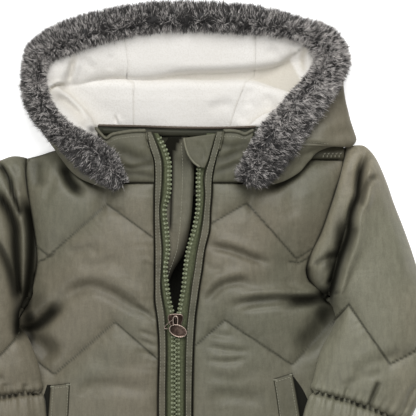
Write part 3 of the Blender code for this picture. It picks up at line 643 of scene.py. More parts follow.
BODY_EDGE = {
    "right": Line(((104.4, -135.5), (97.2, -135.9), (86.4, -136.8), (68.4, -135.0),
                   (50.4, -131.9), (32.4, -128.9), (14.4, -126.7), (1.8, -126.5),
                   (-14.4, -129.6), (-27.0, -133.7), (-42.0, -144.0), (-57.6, -147.0),
                   (-93.6, -149.0), (-135.0, -151.0), (-183.6, -153.0), (HEM_Y, -156.0))),
    "left": Line(((104.4, 153.0), (97.2, 152.1), (86.4, 150.6), (68.4, 144.5), (50.4, 138.6),
                  (32.4, 132.3), (14.4, 124.2), (1.8, 118.8), (-14.4, 120.6), (-27.0, 138.6),
                  (-42.0, 146.0), (-57.6, 149.0), (-93.6, 151.0), (-135.0, 153.0),
                  (-183.6, 155.0), (HEM_Y, 158.0))),
}
ZIP_COLUMNS = ("right_strip", "right_tape", "right_teeth", "left_teeth", "left_tape",
               "left_strip", "height")
ZIP_ROWS = (
    (121.0, -27.0, -21.6, -17.1, 27.9, 36.0, 43.2, 29.0),
    (108.9, -24.8, -16.7, -10.4, 25.2, 32.9, 40.5, 29.5),
    (95.4, -20.3, -12.6, -5.4, 20.7, 29.3, 36.5, 30.0),
    (80.1, -19.5, -12.1, -4.8, 18.9, 25.2, 33.3, 30.5),
    (64.8, -19.8, -13.1, -5.4, 18.9, 25.7, 32.6, 31.0),
    (51.3, -19.8, -14.4, -9.0, 18.5, 24.8, 31.5, 31.5),
    (32.4, -19.8, -13.5, -7.2, 14.9, 22.5, 30.6, 32.0),
    (14.4, -19.4, -12.2, -6.1, 9.9, 18.7, 26.3, 32.5),
    (-3.6, -19.4, -12.8, -8.4, 7.2, 16.0, 23.9, 33.0),
    (-19.8, -19.4, -13.5, -6.6, 5.6, 13.5, 21.2, 33.0),
    (-31.5, -19.4, -11.9, -4.9, 3.6, 12.1, 19.6, 33.0),
    (-43.2, -17.7, -9.9, -2.0, 1.5, 10.6, 18.0, 33.0),
    (-57.6, -16.2, -9.0, -1.5, 0.7, 9.3, 16.9, 33.0),
    (-116.1, -16.2, -9.0, -1.3, 0.5, 8.1, 14.9, 32.0),
    (-180.0, -16.2, -9.0, -1.3, 0.5, 8.1, 14.9, 30.0),
    (HEM_Y, -16.2, -9.0, -1.3, 0.5, 8.1, 14.9, 27.0),
)
ZIP = {name: Line([(row[0], row[k + 1]) for row in ZIP_ROWS])
       for k, name in enumerate(ZIP_COLUMNS)}
TOP_EDGE = {
    "right": Line(((0.0, 74.7), (0.14, 74.7), (0.28, 74.7), (0.45, 90.0), (0.6, 102.0),
                   (0.76, 104.6), (0.89, 100.3), (1.0, 97.0))),
    "left": Line(((0.0, 74.7), (0.14, 74.7), (0.28, 74.7), (0.45, 88.0), (0.6, 97.0),
                  (0.76, 97.0), (0.89, 96.6), (1.0, 97.0))),
}
KEPT = Line(((0.0, 1.0), (0.14, 0.95), (0.28, 0.85), (0.45, 0.35), (0.6, 0.05), (0.76, 0.0),
             (0.89, 0.0), (1.0, 0.0)))


def edge_height(y):
    around = np.clip((y - ARMPIT_Y) / (SHOULDER_Y - ARMPIT_Y), 0, 1)
    return SIDE_SEAM_Z + ARMHOLE_RISE * np.sin(pi * around)


def front_height(side, across, y):
    """The front's height between the zip strip (across 0) and its side edge (across 1)."""
    edge = edge_height(y)
    below = np.clip((TOP_EDGE[side](across) - y) / SHOULDER_RUN, 0, 1)
    kept = np.clip(KEPT(across), 0, 1)
    rise = kept + (1 - kept) * (1 - (1 - below) ** 2)
    return edge + (ZIP["height"](y) - edge) * (1 - np.clip(across, 0, 1) ** CROWN_FALL) * rise


def front_height_at(side, x, y):
    strip = ZIP[side + "_strip"](y)
    across = np.clip((x - strip) / (BODY_EDGE[side](y) - strip), 0, 1)
    return front_height(side, across, y)


# Rows of quilting on the fronts, in pixels of the photograph.
QUILT = {
    "right": (plan((22, 236), (33, 245), (48, 256), (107, 204), (162, 244)),
              plan((8, 344), (40, 365), (54, 375), (115, 322), (163, 364)),
              plan((-2, 452), (54, 493), (115, 440), (164, 484))),
    "left": (plan((182, 248), (212, 223), (247, 203), (297, 259), (322, 243)),
             plan((182, 357), (225, 320), (292, 365), (352, 306)),
             plan((182, 476), (225, 438), (292, 483), (356, 424))),
}
SHORT_QUILT = {"right": plan((34, 264), (44, 259), (54, 254)),
               "left": plan((290, 262), (300, 263), (312, 256))}

# Folds pressed into the cloth: where each runs, how wide and deep it is, how high the lip on its
# left stands, and how much of it stays in the dark.
Fold = namedtuple("Fold", "path width depth lip dark", defaults=(0.4, 0.0))
FRONT_FOLDS = {
    "right": (
        Fold(curved((8, 338), (22, 332), (36, 326), (48, 316), (57, 306.5), (66, 298)), 5.6, 8.0,
             0.5, 1.0),
        Fold(curved((20, 340), (32, 342), (46, 348), (58, 360)), 9.0, 5.0, 0.1, 0.35),
        Fold(curved((54, 308), (66, 297), (78, 289.5), (92, 287), (108, 292), (128, 304), (146, 314),
                    (160, 322)), 5.4, 5.4, 0.5, 0.16),
        Fold(curved((22, 344), (34, 340), (44, 350), (52, 366)), 7.0, 5.0, 0.1, 0.3),
        Fold(curved((60, 158), (64.5, 171), (69, 181), (76, 189), (87, 194)), 4.6, 6.0, 0.4, 0.95),
        Fold(curved((56, 152), (64, 163), (76, 174), (92, 184), (108, 191)), 2.0, 3.0, 0.2, 0.7),
        Fold(curved((38, 156), (36, 172), (39, 190)), 5.0, 4.0, 0.4, 0.35),
        Fold(curved((54, 170), (50, 186), (42, 204)), 3.2, 1.6, 0.5),
        Fold(curved((102, 176), (106, 188), (103, 200), (92, 214)), 5.0, 2.2, 0.4),
        Fold(curved((132, 305), (143, 311), (158, 323)), 2.0, 2.2, 0.8),
        Fold(curved((60, 248), (74, 252), (92, 250), (106, 256)), 4.0, 2.4, 0.6),
        Fold(curved((74, 262), (92, 266), (112, 262), (130, 264)), 5.0, 2.0, 0.5),
        Fold(curved((96, 214), (110, 211), (128, 213)), 3.2, 1.6, 0.5),
        Fold(curved((72, 400), (92, 388), (120, 386), (158, 392)), 6.0, 3.6, 0.5),
        Fold(curved((86, 350), (100, 362), (128, 368), (154, 364)), 7.0, 2.2, 0.4),
        Fold(curved((136, 330), (146, 333), (159, 339)), 1.7, 1.7, 0.7),
        Fold(curved((138, 340), (148, 343), (159, 348)), 1.6, 1.6, 0.7),
        Fold(curved((134, 351), (146, 353), (159, 358)), 1.6, 1.5, 0.7),
        Fold(curved((142, 262), (150, 265), (159, 271)), 1.8, 1.5, 0.6),
        Fold(curved((60, 450), (90, 438), (130, 446), (156, 440)), 7.0, 3.2, 0.4),
        Fold(curved((20, 420), (40, 440), (66, 452)), 6.0, 3.4, 0.4)),
    "left": (
        Fold(curved((258, 188), (278, 185), (293, 174), (304, 161), (314, 150)), 4.5, 4.0, 0.2, 0.85),
        Fold(curved((201, 242), (212, 246), (230, 250), (252, 258), (276, 266)), 3.4, 4.6, 0.6, 0.22),
        Fold(curved((200, 304), (209, 298), (219, 288), (230, 283), (244, 282), (256, 288)),
             3.6, 4.2, 0.7, 0.22),
        Fold(curved((224, 308), (240, 303), (262, 300), (284, 299), (306, 300), (324, 298),
                    (340, 290)), 2.9, 5.6, 0.8, 0.45),
        Fold(curved((278, 302), (300, 302), (320, 300), (344, 290)), 4.8, 6.0, 0.2, 0.9),
        Fold(curved((236, 311), (256, 308), (280, 306), (302, 306)), 2.4, 3.0, 0.7),
        Fold(curved((292, 352), (310, 340), (323, 324), (336, 302)), 9.0, 8.0, 0.1, 0.5),
        Fold(curved((203, 345), (226, 350), (254, 352)), 2.6, 2.0, 0.7),
        Fold(curved((202, 359), (224, 362), (250, 358)), 2.4, 1.8, 0.7),
        Fold(curved((203, 331), (214, 334), (236, 336)), 2.4, 1.6, 0.6),
        Fold(curved((202, 372), (220, 378), (250, 381)), 4.0, 2.0, 0.5),
        Fold(curved((284, 276), (296, 290), (308, 292)), 5.0, 2.0, 0.4),
        Fold(curved((262, 180), (252, 196), (250, 214)), 5.0, 2.2, 0.4),
        Fold(curved((300, 176), (292, 196), (296, 222)), 6.0, 2.0, 0.3),
        Fold(curved((203, 262), (212, 268), (226, 270)), 2.4, 1.4, 0.6),
        Fold(curved((205, 398), (240, 396), (268, 404)), 6.0, 3.0, 0.5),
        Fold(curved((206, 452), (246, 446), (280, 458), (320, 450)), 7.0, 3.2, 0.4)),
}


def folded(x, y, folds, fade=0.3):
    """The height and the darkness that a set of folds adds."""
    height, dark = np.zeros(np.shape(x)), np.zeros(np.shape(x))
    for path, width, depth, lip, shade in folds:
        gap, side, along, run = beside(x, y, path)
        ends = fading(along, run, fade)
        away = gap * side / (width * 1.15)
        raised = 0.7 * lip * np.exp(-((away - 1.9) / 1.2) ** 2)
        height += depth * (raised - np.exp(-away ** 2)) * ends
        if shade:
            dark = np.maximum(dark, shade * np.exp(-np.abs(away) ** 3) * ends)
    return height, dark


def edge_of(grid, where):
    """A grid's boundary as a path, a point every centimetre or so."""
    line = {"top": grid[0], "bottom": grid[-1], "first": grid[:, 0], "last": grid[:, -1]}[where]
    return line[::6, :2] if len(line) > 12 else line[:, :2]


def seam_shade(x, y, paths, width):
    """1 on a row of stitches, fading to 0 beside it."""
    shade = np.zeros(np.shape(x))
    for path in paths:
        shade = np.maximum(shade, np.exp(-(beside(x, y, path)[0] / width) ** 2))
    return shade


def tucked(grid, dark, steps, side):
    """The grid with its last edge turned down, so that no edge of it is seen from the side."""
    more = [grid[:, -1:] + np.array((SIGN[side] * out, 0.0, down)) for out, down in steps]
    low = np.concatenate([grid, *more], axis=1)
    low[..., 2] = np.maximum(low[..., 2], 1.4)
    # The turned-down edge is painted fully in shade.
    hidden = np.ones((len(dark), len(steps)))
    return low, np.concatenate((dark, hidden), axis=1)


def front_grid(side):
    down = np.linspace(0, 1, round(FRONT_LENGTH / STEP))[:, None]
    across = np.linspace(0, 1, round(FRONT_WIDTH / STEP))[None, :]
    top = TOP_EDGE[side](across)
    y = top + (HEM_Y - top) * down
    strip = ZIP[side + "_strip"](y)
    x = strip + (BODY_EDGE[side](y) - strip) * across
    z = front_height(side, across, y)
    base = laid(x, y, z)
    rims = [edge_of(base, where) for where in ("top", "bottom", "first", "last")]
    seams = [*QUILT[side], SHORT_QUILT[side]]
    z = z - PUFF * PUFF_SUNK + puffed(x, y, [*seams, *rims], PUFF, PUFF_REACH)
    for k, path in enumerate(seams):
        z += puckers(x, y, path, 0.34, 7.5, 6.5, k)
    z += puckers(x, y, rims[2], 0.6, 8.5, 7.5, 5) + puckers(x, y, rims[3], 0.6, 9.5, 8.0, 6)
    z += puckers(x, y, rims[1], 0.6, 8.0, 8.0, 7)
    pressed, shaded = folded(x, y, FRONT_FOLDS[side])
    z += pressed
    calm = 1 - np.exp(-np.minimum(beside(x, y, rims[3])[0], beside(x, y, rims[2])[0]) / 12)
    seed = FRONT_SEED[side]
    z += calm * (0.9 * unevenness(x, y, 17.0, seed) + 0.3 * unevenness(x, y, 6.0, seed + 1))
    # Painted shade along the quilting, in the folds, at the side and top edges and at the armpit.
    dark = np.maximum(seam_shade(x, y, seams, 1.0) * 0.62, shaded)
    dark = np.maximum(dark, 0.85 * seam_shade(x, y, [rims[2], rims[3]], 1.1))
    dark = np.maximum(dark, 0.5 * seam_shade(x, y, [rims[0]], 0.8))
    dark = np.maximum(dark, shadowed("front_" + side, x, y))
    grid = laid(x, y, z)
    grid, dark = tucked(grid, dark, ((0.4, -1.6), (0.2, -3.4), (-0.6, -5.2)), side)
    grid, dark = facing_up(side, grid, dark)
    return grid, dark, rims


def make_fronts():
    made = {}
    for side in SIDES:
        grid, dark, rims = front_grid(side)
        cloth("front_" + side, grid, 2.2, SHELL, sunk=dark)
        surface = surface_of(grid)
        runs = [*QUILT[side], SHORT_QUILT[side]]
        stitched("quilt_thread_front_" + side, runs, surface, thick=0.27, lift=0.1)
        hem = rims[1] + np.array((0.0, 11.0))
        stitched("hem_thread_front_" + side, [hem], surface, thick=0.27)
        made[side] = (grid, surface)
    return made


def make_back():
    across = np.linspace(0, 1, BACK_COLUMNS)[None, :]
    down = np.linspace(0, 1, BACK_ROWS)[:, None]
    top = Line(((0.0, 97.0), (0.05, 100.3), (0.11, 104.2), (0.24, 103.5), (0.3, 91.0), (0.5, 89.5),
                (0.71, 91.0), (0.77, 103.5), (0.88, 105.5), (1.0, 104.8)))(across)
    y = top + (HEM_Y - top) * down
    right, left = BODY_EDGE["right"](y), BODY_EDGE["left"](y)
    x = right + (left - right) * across
    base = laid(x, y, 0.0)
    rims = [edge_of(base, where) for where in ("top", "bottom", "first", "last")]
    lines = []
    for low in (26.0, -80.0, -186.0):
        lines.append(np.array([(x0, low + (44.0 if k % 2 else 0.0))
                               for k, x0 in enumerate(range(-168, 211, 63))]))
    swell = puffed(x, y, [*lines, *rims], 1.0, 6.0)
    under = 2.6 * (1 - swell)
    under += 0.3 * np.abs(puckers(x, y, rims[1], 1.0, 8.0, 8.0, 3))
    # Painted shade along the back's quilting and at both armpits.
    dark = np.maximum(seam_shade(x, y, lines, 1.2), shadowed("front_right", x, y))
    dark = np.maximum(dark, shadowed("front_left", x, y))
    top_side = laid(x, y, under + 1.2)
    cloth("back_panel", top_side, 1.2, SHELL, sunk=dark, lined=SHELL)
    surface = surface_of(laid(x, y, under))
    stitched("quilt_thread_back", lines, surface, pitch=3.4, thick=0.3, upward=True)
    inside = laid(x, y, 3.2 + 0.35 * unevenness(x, y, 12.0, 21))[1:-1, 2:-2]
    # A near-black sheet inside the jacket: painted shadow over its lining.
    cloth("back_lining", inside[::2, ::2], 0.5, DARK, nodes=())


# ---------------------------------------------------------------- placket, zip and collar

def strip_edge(side, y):
    return ZIP[side + "_strip"](y) - SIGN[side] * SEAM_GAP


def make_plackets():
    for side in SIDES:
        sign = SIGN[side]
        y = np.linspace(121.0, HEM_Y, 260)[:, None]
        part = np.linspace(0, 1, 9)[None, :]
        outer, inner = strip_edge(side, y), ZIP[side + "_tape"](y)
        x = inner + (outer - inner) * part
        wide = np.abs(outer - inner)
        edge = np.minimum(part, 1 - part) * wide
        z = ZIP["height"](y) + 0.85 * (1 - np.exp(-edge / 0.9)) - 0.45
        ripple = np.sin(y / 1.6 + 2.4 * np.sin(y / 7.0)) * (0.5 + 0.5 * np.sin(y / 17.0 + 1.0))
        z = z + 0.5 * ripple * np.exp(-((edge - 1.6) / 1.4) ** 2)
        z = z + 0.7 * unevenness(x, y, 5.0, 31)
        z = z - 0.7 * (1 - ease(edge / 0.7))
        # Painted shade along the strip's edges, with a little random darkening.
        shade = np.exp(-(edge / 0.8) ** 2) * 0.85 + 0.16 * (1 + unevenness(x, y, 4.0, 32))
        grid, shade = facing_up(side, laid(x, y, z), shade)
        cloth("placket_" + side, grid, STRIP_WALL - 0.3, TRIM,
              sunk=shade)
        surface = surface_of(grid)
        rows = []
        for inset in (1.5, -1.4):
            line = y[2:-2, 0]
            near = ZIP[side + "_tape"](line) if inset > 0 else strip_edge(side, line)
            rows.append(np.stack((near + sign * inset, line), axis=1)[::8])
        stitched("placket_thread_" + side, rows, surface, pitch=2.7, thick=0.26, lift=0.12,
                 dye=PALE_THREAD)


def make_tapes():
    for side in SIDES:
        sign = SIGN[side]
        y = np.linspace(119.5, HEM_Y, 240)[:, None]
        part = np.linspace(0, 1, 8)[None, :]
        inner, outer = ZIP[side + "_teeth"](y), ZIP[side + "_tape"](y) + sign * 4.5
        x = inner + (outer - inner) * part
        z = ZIP["height"](y) - STRIP_WALL - SEAM_GAP
        z = z + 0.3 * np.sin(y / 11.0 + part * 2.0) - 0.35 + 0.25 * np.sin(pi * part)
        # Painted shade where the tape runs under the strip's edge.
        shade = np.exp(-(x - ZIP[side + "_tape"](y) + 0.3 * sign) ** 2)
        grid, shade = facing_up(side, laid(x, y, z), shade)
        cloth("zip_tape_" + side, grid, 0.8, TAPE,
              sunk=shade)


def rounded_block(length, width, height, bevel):
    work = bmesh.new()
    bmesh.ops.create_cube(work, size=1.0)
    bmesh.ops.transform(work, matrix=Matrix.Diagonal((length, width, height, 1)),
                        verts=work.verts)
    bmesh.ops.bevel(work, geom=work.edges[:], offset=bevel, segments=1, affect="EDGES")
    bmesh.ops.triangulate(work, faces=work.faces)
    points = np.array([vert.co[:] for vert in work.verts])
    faces = np.array([[vert.index for vert in face.verts] for face in work.faces])
    work.free()
    return points, faces


def tooth_shape():
    """A moulded tooth along X: a wide clamp on the tape, a low neck and a rounded head."""
    blocks = ((rounded_block(1.9, 2.5, 2.5, 0.5), 2.5), (rounded_block(2.0, 1.1, 1.3, 0.3), 1.0),
              (rounded_block(1.8, 2.1, 2.3, 0.5), -0.1))
    points, faces, start = [], [], 0
    for (block, sides), at in blocks:
        points.append(block + (at, 0, 0))
        faces.append(sides + start)
        start += len(block)
    return np.concatenate(points), np.concatenate(faces)


TOOTH_PITCH = 3.97
CHAIN_TOP = -52.0


def make_teeth():
    shape = tooth_shape()
    for side in SIDES:
        sign = SIGN[side]
        y = np.arange(117.0, HEM_Y + 3.0, -0.5)
        path = np.stack((ZIP[side + "_teeth"](y), y), axis=1)
        run = np.concatenate(([0.0], np.cumsum(np.linalg.norm(np.diff(path, axis=0), axis=1))))
        shift = TOOTH_PITCH / 2 if side == "left" else 0.0
        whole = np.interp(-CHAIN_TOP, -y, run)
        marks = np.arange((whole + shift) % TOOTH_PITCH, run[-1], TOOTH_PITCH)
        middle_y = np.interp(marks, run, y)
        slope = np.gradient(ZIP[side + "_teeth"](middle_y), middle_y)
        origins, frames = [], []
        for at, lean in zip(middle_y, slope):
            along = np.array((lean, 1.0, 0.0))
            along /= np.linalg.norm(along)
            outward_x = np.cross(along, (0, 0, 1.0)) * sign
            level = ZIP["height"](at) - STRIP_WALL - SEAM_GAP - TAPE_WALL / 2 + 0.2
            origins.append((ZIP[side + "_teeth"](at) - 0.1 * sign, at, float(level)))
            frames.append((outward_x, along * sign, (0, 0, 1.0)))
        copies("zip_teeth_" + side, shape, (np.array(origins), np.array(frames)), TEETH)


COLLAR_END = {"right": -50.0, "left": 61.0}
COLLAR_TOP = {
    "right": plan((149.5, 131), (141, 130.6), (133, 131), (121, 132.6), (111, 135), (106, 138.6),
                  (101, 134.5), (95, 127)),
    "left": plan((219, 131.5), (226, 130.8), (234, 131), (240, 132.2), (245, 134), (249.5, 132),
                 (254, 129.5)),
}


def make_collars():
    folds = {
        "right": ((curved((118, 165), (132, 168), (146, 165), (158, 164)), 2.2, 1.5, 0.6),
                  (curved((120, 148), (134, 156), (150, 160)), 4.5, 1.6, 0.3),
                  (curved((116, 176), (130, 173), (154, 176)), 2.6, 0.9, 0.4)),
        "left": ((curved((214, 160), (228, 157), (242, 148)), 3.6, 1.6, 0.4),
                 (curved((212, 172), (226, 168), (244, 160)), 2.8, 1.3, 0.4),
                 (curved((218, 142), (230, 146), (246, 142)), 3.0, 1.0, 0.4)),
    }
    for side in SIDES:
        sign = SIGN[side]
        top = spaced(COLLAR_TOP[side], 1.6)
        count = len(top)
        part = np.linspace(0, 1, count)
        strip = ZIP[side + "_strip"](75.0)
        low_x = strip + sign * SEAM_GAP + (COLLAR_END[side] - strip) * part
        down = np.linspace(0, 1, 30)[:, None]
        low = NECK_SEAM_Y + SEAM_GAP
        y = top[None, :, 1] + (low - top[None, :, 1]) * down
        x = top[None, :, 0] + (low_x[None, :] - top[None, :, 0]) * down
        seam = ZIP[side + "_strip"](y) + sign * SEAM_GAP
        x = x + (seam - x) * np.clip(1 - part[None, :] * 4, 0, 1)
        z = ZIP["height"](y) - 2.6 * part[None, :] ** 1.5 - 0.6
        rims = [np.stack((x[0], y[0]), axis=1)[::2], np.stack((x[-1], y[-1]), axis=1)[::2],
                np.stack((x[:, 0], y[:, 0]), axis=1)[::3]]
        z = z - 1.0 + puffed(x, y, rims, 1.9, 3.0)
        base = laid(x, y, z)
        # Painted shade along the collar's rims and in its folds.
        dark = 0.6 * seam_shade(x, y, [rims[0], rims[1], edge_of(base, "bottom")], 1.7)
        for path, width, depth, lean in folds[side]:
            z = z + trough(x, y, path, width, depth, lean)
            dark = np.maximum(dark, 0.4 * np.exp(-(beside(x, y, path)[0] / width) ** 2))
        z = z + 0.45 * unevenness(x, y, 7.0, 41) + puckers(x, y, rims[1], 0.4, 7.0, 4.0, 2)
        grid, dark = facing_up(side, laid(x, y, z), dark)
        cloth("collar_" + side, grid, 1.6, COLLAR, sunk=dark)
        rim = np.stack((x[0], y[0], z[0] + 1.1), axis=1)
        piping("collar_piping_" + side, rim, 1.55, TRIM)
        surface = surface_of(grid)
        row = np.stack((x[3], y[3]), axis=1)[2:-2:3]
        stitched("collar_thread_" + side, [row], surface, pitch=2.6, thick=0.24, dye=PALE_THREAD)


def make_collar_back():
    rows = (((-70.5, 126.5, 21.0), (-60.0, 126.3, 18.5), (-35.0, 125.8, 15.4),
             (5.0, 124.6, 14.8), (40.0, 124.4, 15.4), (62.0, 124.8, 18.5), (74.0, 125.5, 22.0)),
            ((-70.5, 116.0, 20.6), (-60.0, 115.0, 16.5), (-35.0, 114.0, 12.6),
             (5.0, 113.0, 11.8), (40.0, 113.0, 12.6), (62.0, 113.6, 15.8), (74.0, 115.0, 20.6)),
            ((-70.5, 89.2, 19.8), (-60.0, 89.2, 12.0), (-35.0, 89.2, 6.9), (5.0, 89.2, 6.9),
             (40.0, 89.2, 6.9), (62.0, 89.2, 9.0), (74.0, 89.2, 17.0)),
            ((-70.5, 80.0, 16.0), (-60.0, 79.0, 9.0), (-35.0, 78.0, 5.6), (5.0, 78.0, 5.6),
             (40.0, 78.0, 5.6), (62.0, 79.0, 7.0), (74.0, 80.0, 14.0)))
    grid = woven(rows, 2.2)
    x, y = grid[..., 0], grid[..., 1]
    grid[..., 2] += 0.4 * unevenness(x, y, 6.0, 51)
    # The collar back and neck tape are in the darker satin: painted shade.
    cloth("collar_back", grid, 1.8, SHADED_NECK)
    rim = grid[0][::3] + np.array((0, 0.4, 0.6))
    piping("collar_back_piping", rim, 1.1, thread_dye("brown_piping", (0.07, 0.055, 0.038),
                                                       (0.13, 0.1, 0.075)))
    tape = []
    for lift, over in ((0.6, -2.2), (1.0, -5.0), (0.4, -8.0)):
        tape.append(grid[0][2:-2] + np.array((0, over, lift)))
    tape = woven(np.array(tape)[:, ::4], 1.8)
    below = np.interp(tape[..., 1], (112.0, 126.0), (-2.6, 0.0))
    tape[..., 2] += below + 0.3
    cloth("neck_tape", tape, 0.5, SHADED_NECK, nodes=())


def make_flap():
    rows = []
    for y, sewn, free, drop in ((116.5, -6.0, 10.0, 4.6), (108.0, -11.0, 13.5, 5.0),
                                (96.0, -12.0, 15.5, 5.5), (60.0, -13.0, 15.0, 5.5),
                                (32.0, -13.0, 12.0, 5.5), (12.0, -13.0, 7.4, 6.0),
                                (-8.0, -13.0, -4.0, 6.5), (-60.0, -13.0, -3.5, 7.4),
                                (HEM_Y + 6.0, -13.0, -3.5, 7.4)):
        z = float(ZIP["height"](y))
        low = z - (3.4 + 2 * drop) / 3
        rows.append([(sewn, y, z - 3.4), (sewn + (free - sewn) * 0.35, y, low),
                     (sewn + (free - sewn) * 0.7, y, z - drop + 0.1), (free, y, z - drop)])
    grid = woven(rows, 1.8)
    x, y = grid[..., 0], grid[..., 1]
    grid[..., 2] += 0.35 * unevenness(x, y, 9.0, 61)
    grid[..., 2] += trough(x, y, curved((177, 144), (181, 160), (186, 190), (184, 230)), 2.6, 1.0)
    slot_line = curved((174, 143), (173, 160), (171.8, 180), (170.8, 200), (170.6, 216), (171.5, 232))
    # Painted shade: black in the slot beside the teeth and in the upper corner, darkening toward the
    # free edge lower down.
    dark = np.exp(-(beside(x, y, slot_line)[0] / 1.2) ** 4)
    corner = beside(x, y, curved((186, 136), (180, 141), (176, 148), (174, 157), (173, 166)))
    dark = np.maximum(dark, (corner[1] < 0) * (y > 90.0))
    dark = np.maximum(dark, 0.6 * np.exp(-corner[0] / 2.5) * (y > 95.0))
    free = grid[:, -1:, 0] - x
    lower = ease((52.0 - y) / 46.0)
    dark = np.maximum(dark, np.exp(-(free / (2.6 + 5.0 * lower)) ** 2) * (0.7 + 0.3 * lower))
    dark = np.maximum(dark, knoll(x, y, 184, 160, 7.0, 9.0, 0.5))
    cloth("wind_flap", grid, 1.0, TRIM,
          sunk=dark)
    surface = surface_of(grid)
    edge = grid[3:-30:5, -4, :2]
    stitched("flap_thread", [edge], surface, pitch=2.8, thick=0.24, dye=PALE_THREAD)


def make_chin_guard():
    outline = {"left": plan((184, 138), (185.6, 146), (188.6, 155), (194.5, 163), (202.6, 168.4)),
               "right": plan((216, 133.5), (213, 143), (210.5, 152), (208, 160), (204.6, 168))}
    left, right = spaced(outline["left"], 1.3), spaced(outline["right"], 1.3)
    rows = min(len(left), len(right))
    left, right = left[:rows], right[:rows]
    part = np.linspace(0, 1, 20)[None, :]
    x = left[:, :1] + (right[:, :1] - left[:, :1]) * part
    y = left[:, 1:] + (right[:, 1:] - left[:, 1:]) * part
    z = ZIP["height"](y) + 2.6 + 0.7 * np.sin(pi * part)
    z = z + trough(x, y, curved((196, 140), (203, 152), (204, 164)), 2.6, 0.9, 0.4)
    z = z + 0.2 * unevenness(x, y, 4.0, 71)
    grid = laid(x, y, z)
    cloth("chin_guard", grid, 1.4, COLLAR)
    rim = np.stack((left[:, 0], left[:, 1], z[:, 0] + 0.2), axis=1)[::3]
    # The piping takes the lit copy of the satin, a painted highlight along its raised edge.
    piping("chin_guard_piping", rim, 1.0, LIT_SHELL)


# ---------------------------------------------------------------- sleeves and cuffs

SleeveRow = namedtuple("SleeveRow", "in_x in_y out_x out_y top edge armhole_share rides")
SLEEVE_ROWS = {
    "right": (
        SleeveRow(-134.0, -28.5, -146.0, 97.6, 19.0, 8.0, 0.6, 0),
        SleeveRow(-135.5, -30.0, -158.4, 93.9, 25.0, 10.0, 0.3, 0),
        SleeveRow(-138.0, -34.0, -180.9, 86.4, 31.0, 13.0, 0.0, 0),
        SleeveRow(-140.0, -40.0, -204.0, 66.0, 36.0, 15.0, 0.0, 1),
        SleeveRow(-141.5, -50.0, -221.0, 20.0, 39.0, 14.0, 0.0, 1),
        SleeveRow(-135.9, -62.0, -229.0, -30.0, 40.0, 16.0, 0.0, 1),
        SleeveRow(-129.6, -80.0, -229.0, -80.0, 39.0, 18.0, 0.0, 1),
        SleeveRow(-125.1, -97.0, -219.0, -115.0, 36.0, 20.0, 0.0, 1),
        SleeveRow(-122.4, -115.2, -204.0, -138.6, 30.0, 21.0, 0.0, 1)),
    "left": (
        SleeveRow(138.0, -28.5, 163.0, 107.4, 19.0, 8.0, 0.6, 0),
        SleeveRow(138.5, -29.5, 172.0, 105.0, 23.0, 9.0, 0.0, 0),
        SleeveRow(140.0, -33.0, 176.4, 100.0, 30.0, 12.0, 0.0, 0),
        SleeveRow(142.0, -40.0, 197.1, 52.0, 36.0, 15.0, 0.0, 1),
        SleeveRow(142.0, -50.0, 213.0, 8.0, 39.0, 14.0, 0.0, 1),
        SleeveRow(138.0, -62.0, 226.0, -35.0, 40.0, 16.0, 0.0, 1),
        SleeveRow(131.4, -78.0, 229.0, -80.0, 39.0, 18.0, 0.0, 1),
        SleeveRow(127.0, -97.0, 221.0, -116.0, 36.0, 20.0, 0.0, 1),
        SleeveRow(123.3, -114.3, 205.2, -142.2, 30.0, 21.0, 0.0, 1)),
}
CUFF_ROWS = {
    "right": (
        SleeveRow(-122.3, -115.6, -203.9, -139.0, 30.0, 21.0, 0.0, 1),
        SleeveRow(-120.8, -129.0, -206.0, -155.0, 33.0, 21.0, 0.0, 1),
        SleeveRow(-119.5, -143.0, -202.0, -170.0, 32.0, 21.0, 0.0, 1)),
    "left": (
        SleeveRow(123.2, -114.7, 205.1, -142.6, 30.0, 21.0, 0.0, 1),
        SleeveRow(119.0, -128.0, 206.0, -158.0, 33.0, 21.0, 0.0, 1),
        SleeveRow(115.5, -142.0, 200.0, -173.0, 32.0, 21.0, 0.0, 1)),
}
TOP_PARTS = (0.0, 0.1, 0.26, 0.42, 0.58, 0.74, 0.9, 1.0)


def armhole_ring(side, under):
    """The sleeve's first section, along the body's armhole, front and back."""
    gap = (0.5 - under) if side == "left" else (under - 0.5)
    highest = 107.0 if side == "left" else SHOULDER_Y
    upward = [ARMPIT_Y + (highest - ARMPIT_Y) * part for part in TOP_PARTS]
    ring = [(float(BODY_EDGE[side](y)) + gap, y, float(edge_height(y)) - 1.2 - under)
            for y in upward]
    ring[0] = ring[0][:2] + (SIDE_SEAM_Z / 2,)
    ring[-1] = ring[-1][:2] + (SIDE_SEAM_Z / 2,)
    back = [(float(BODY_EDGE[side](y)) + gap, y, 0.6) for y in upward[-2:0:-1]]
    return ring + back


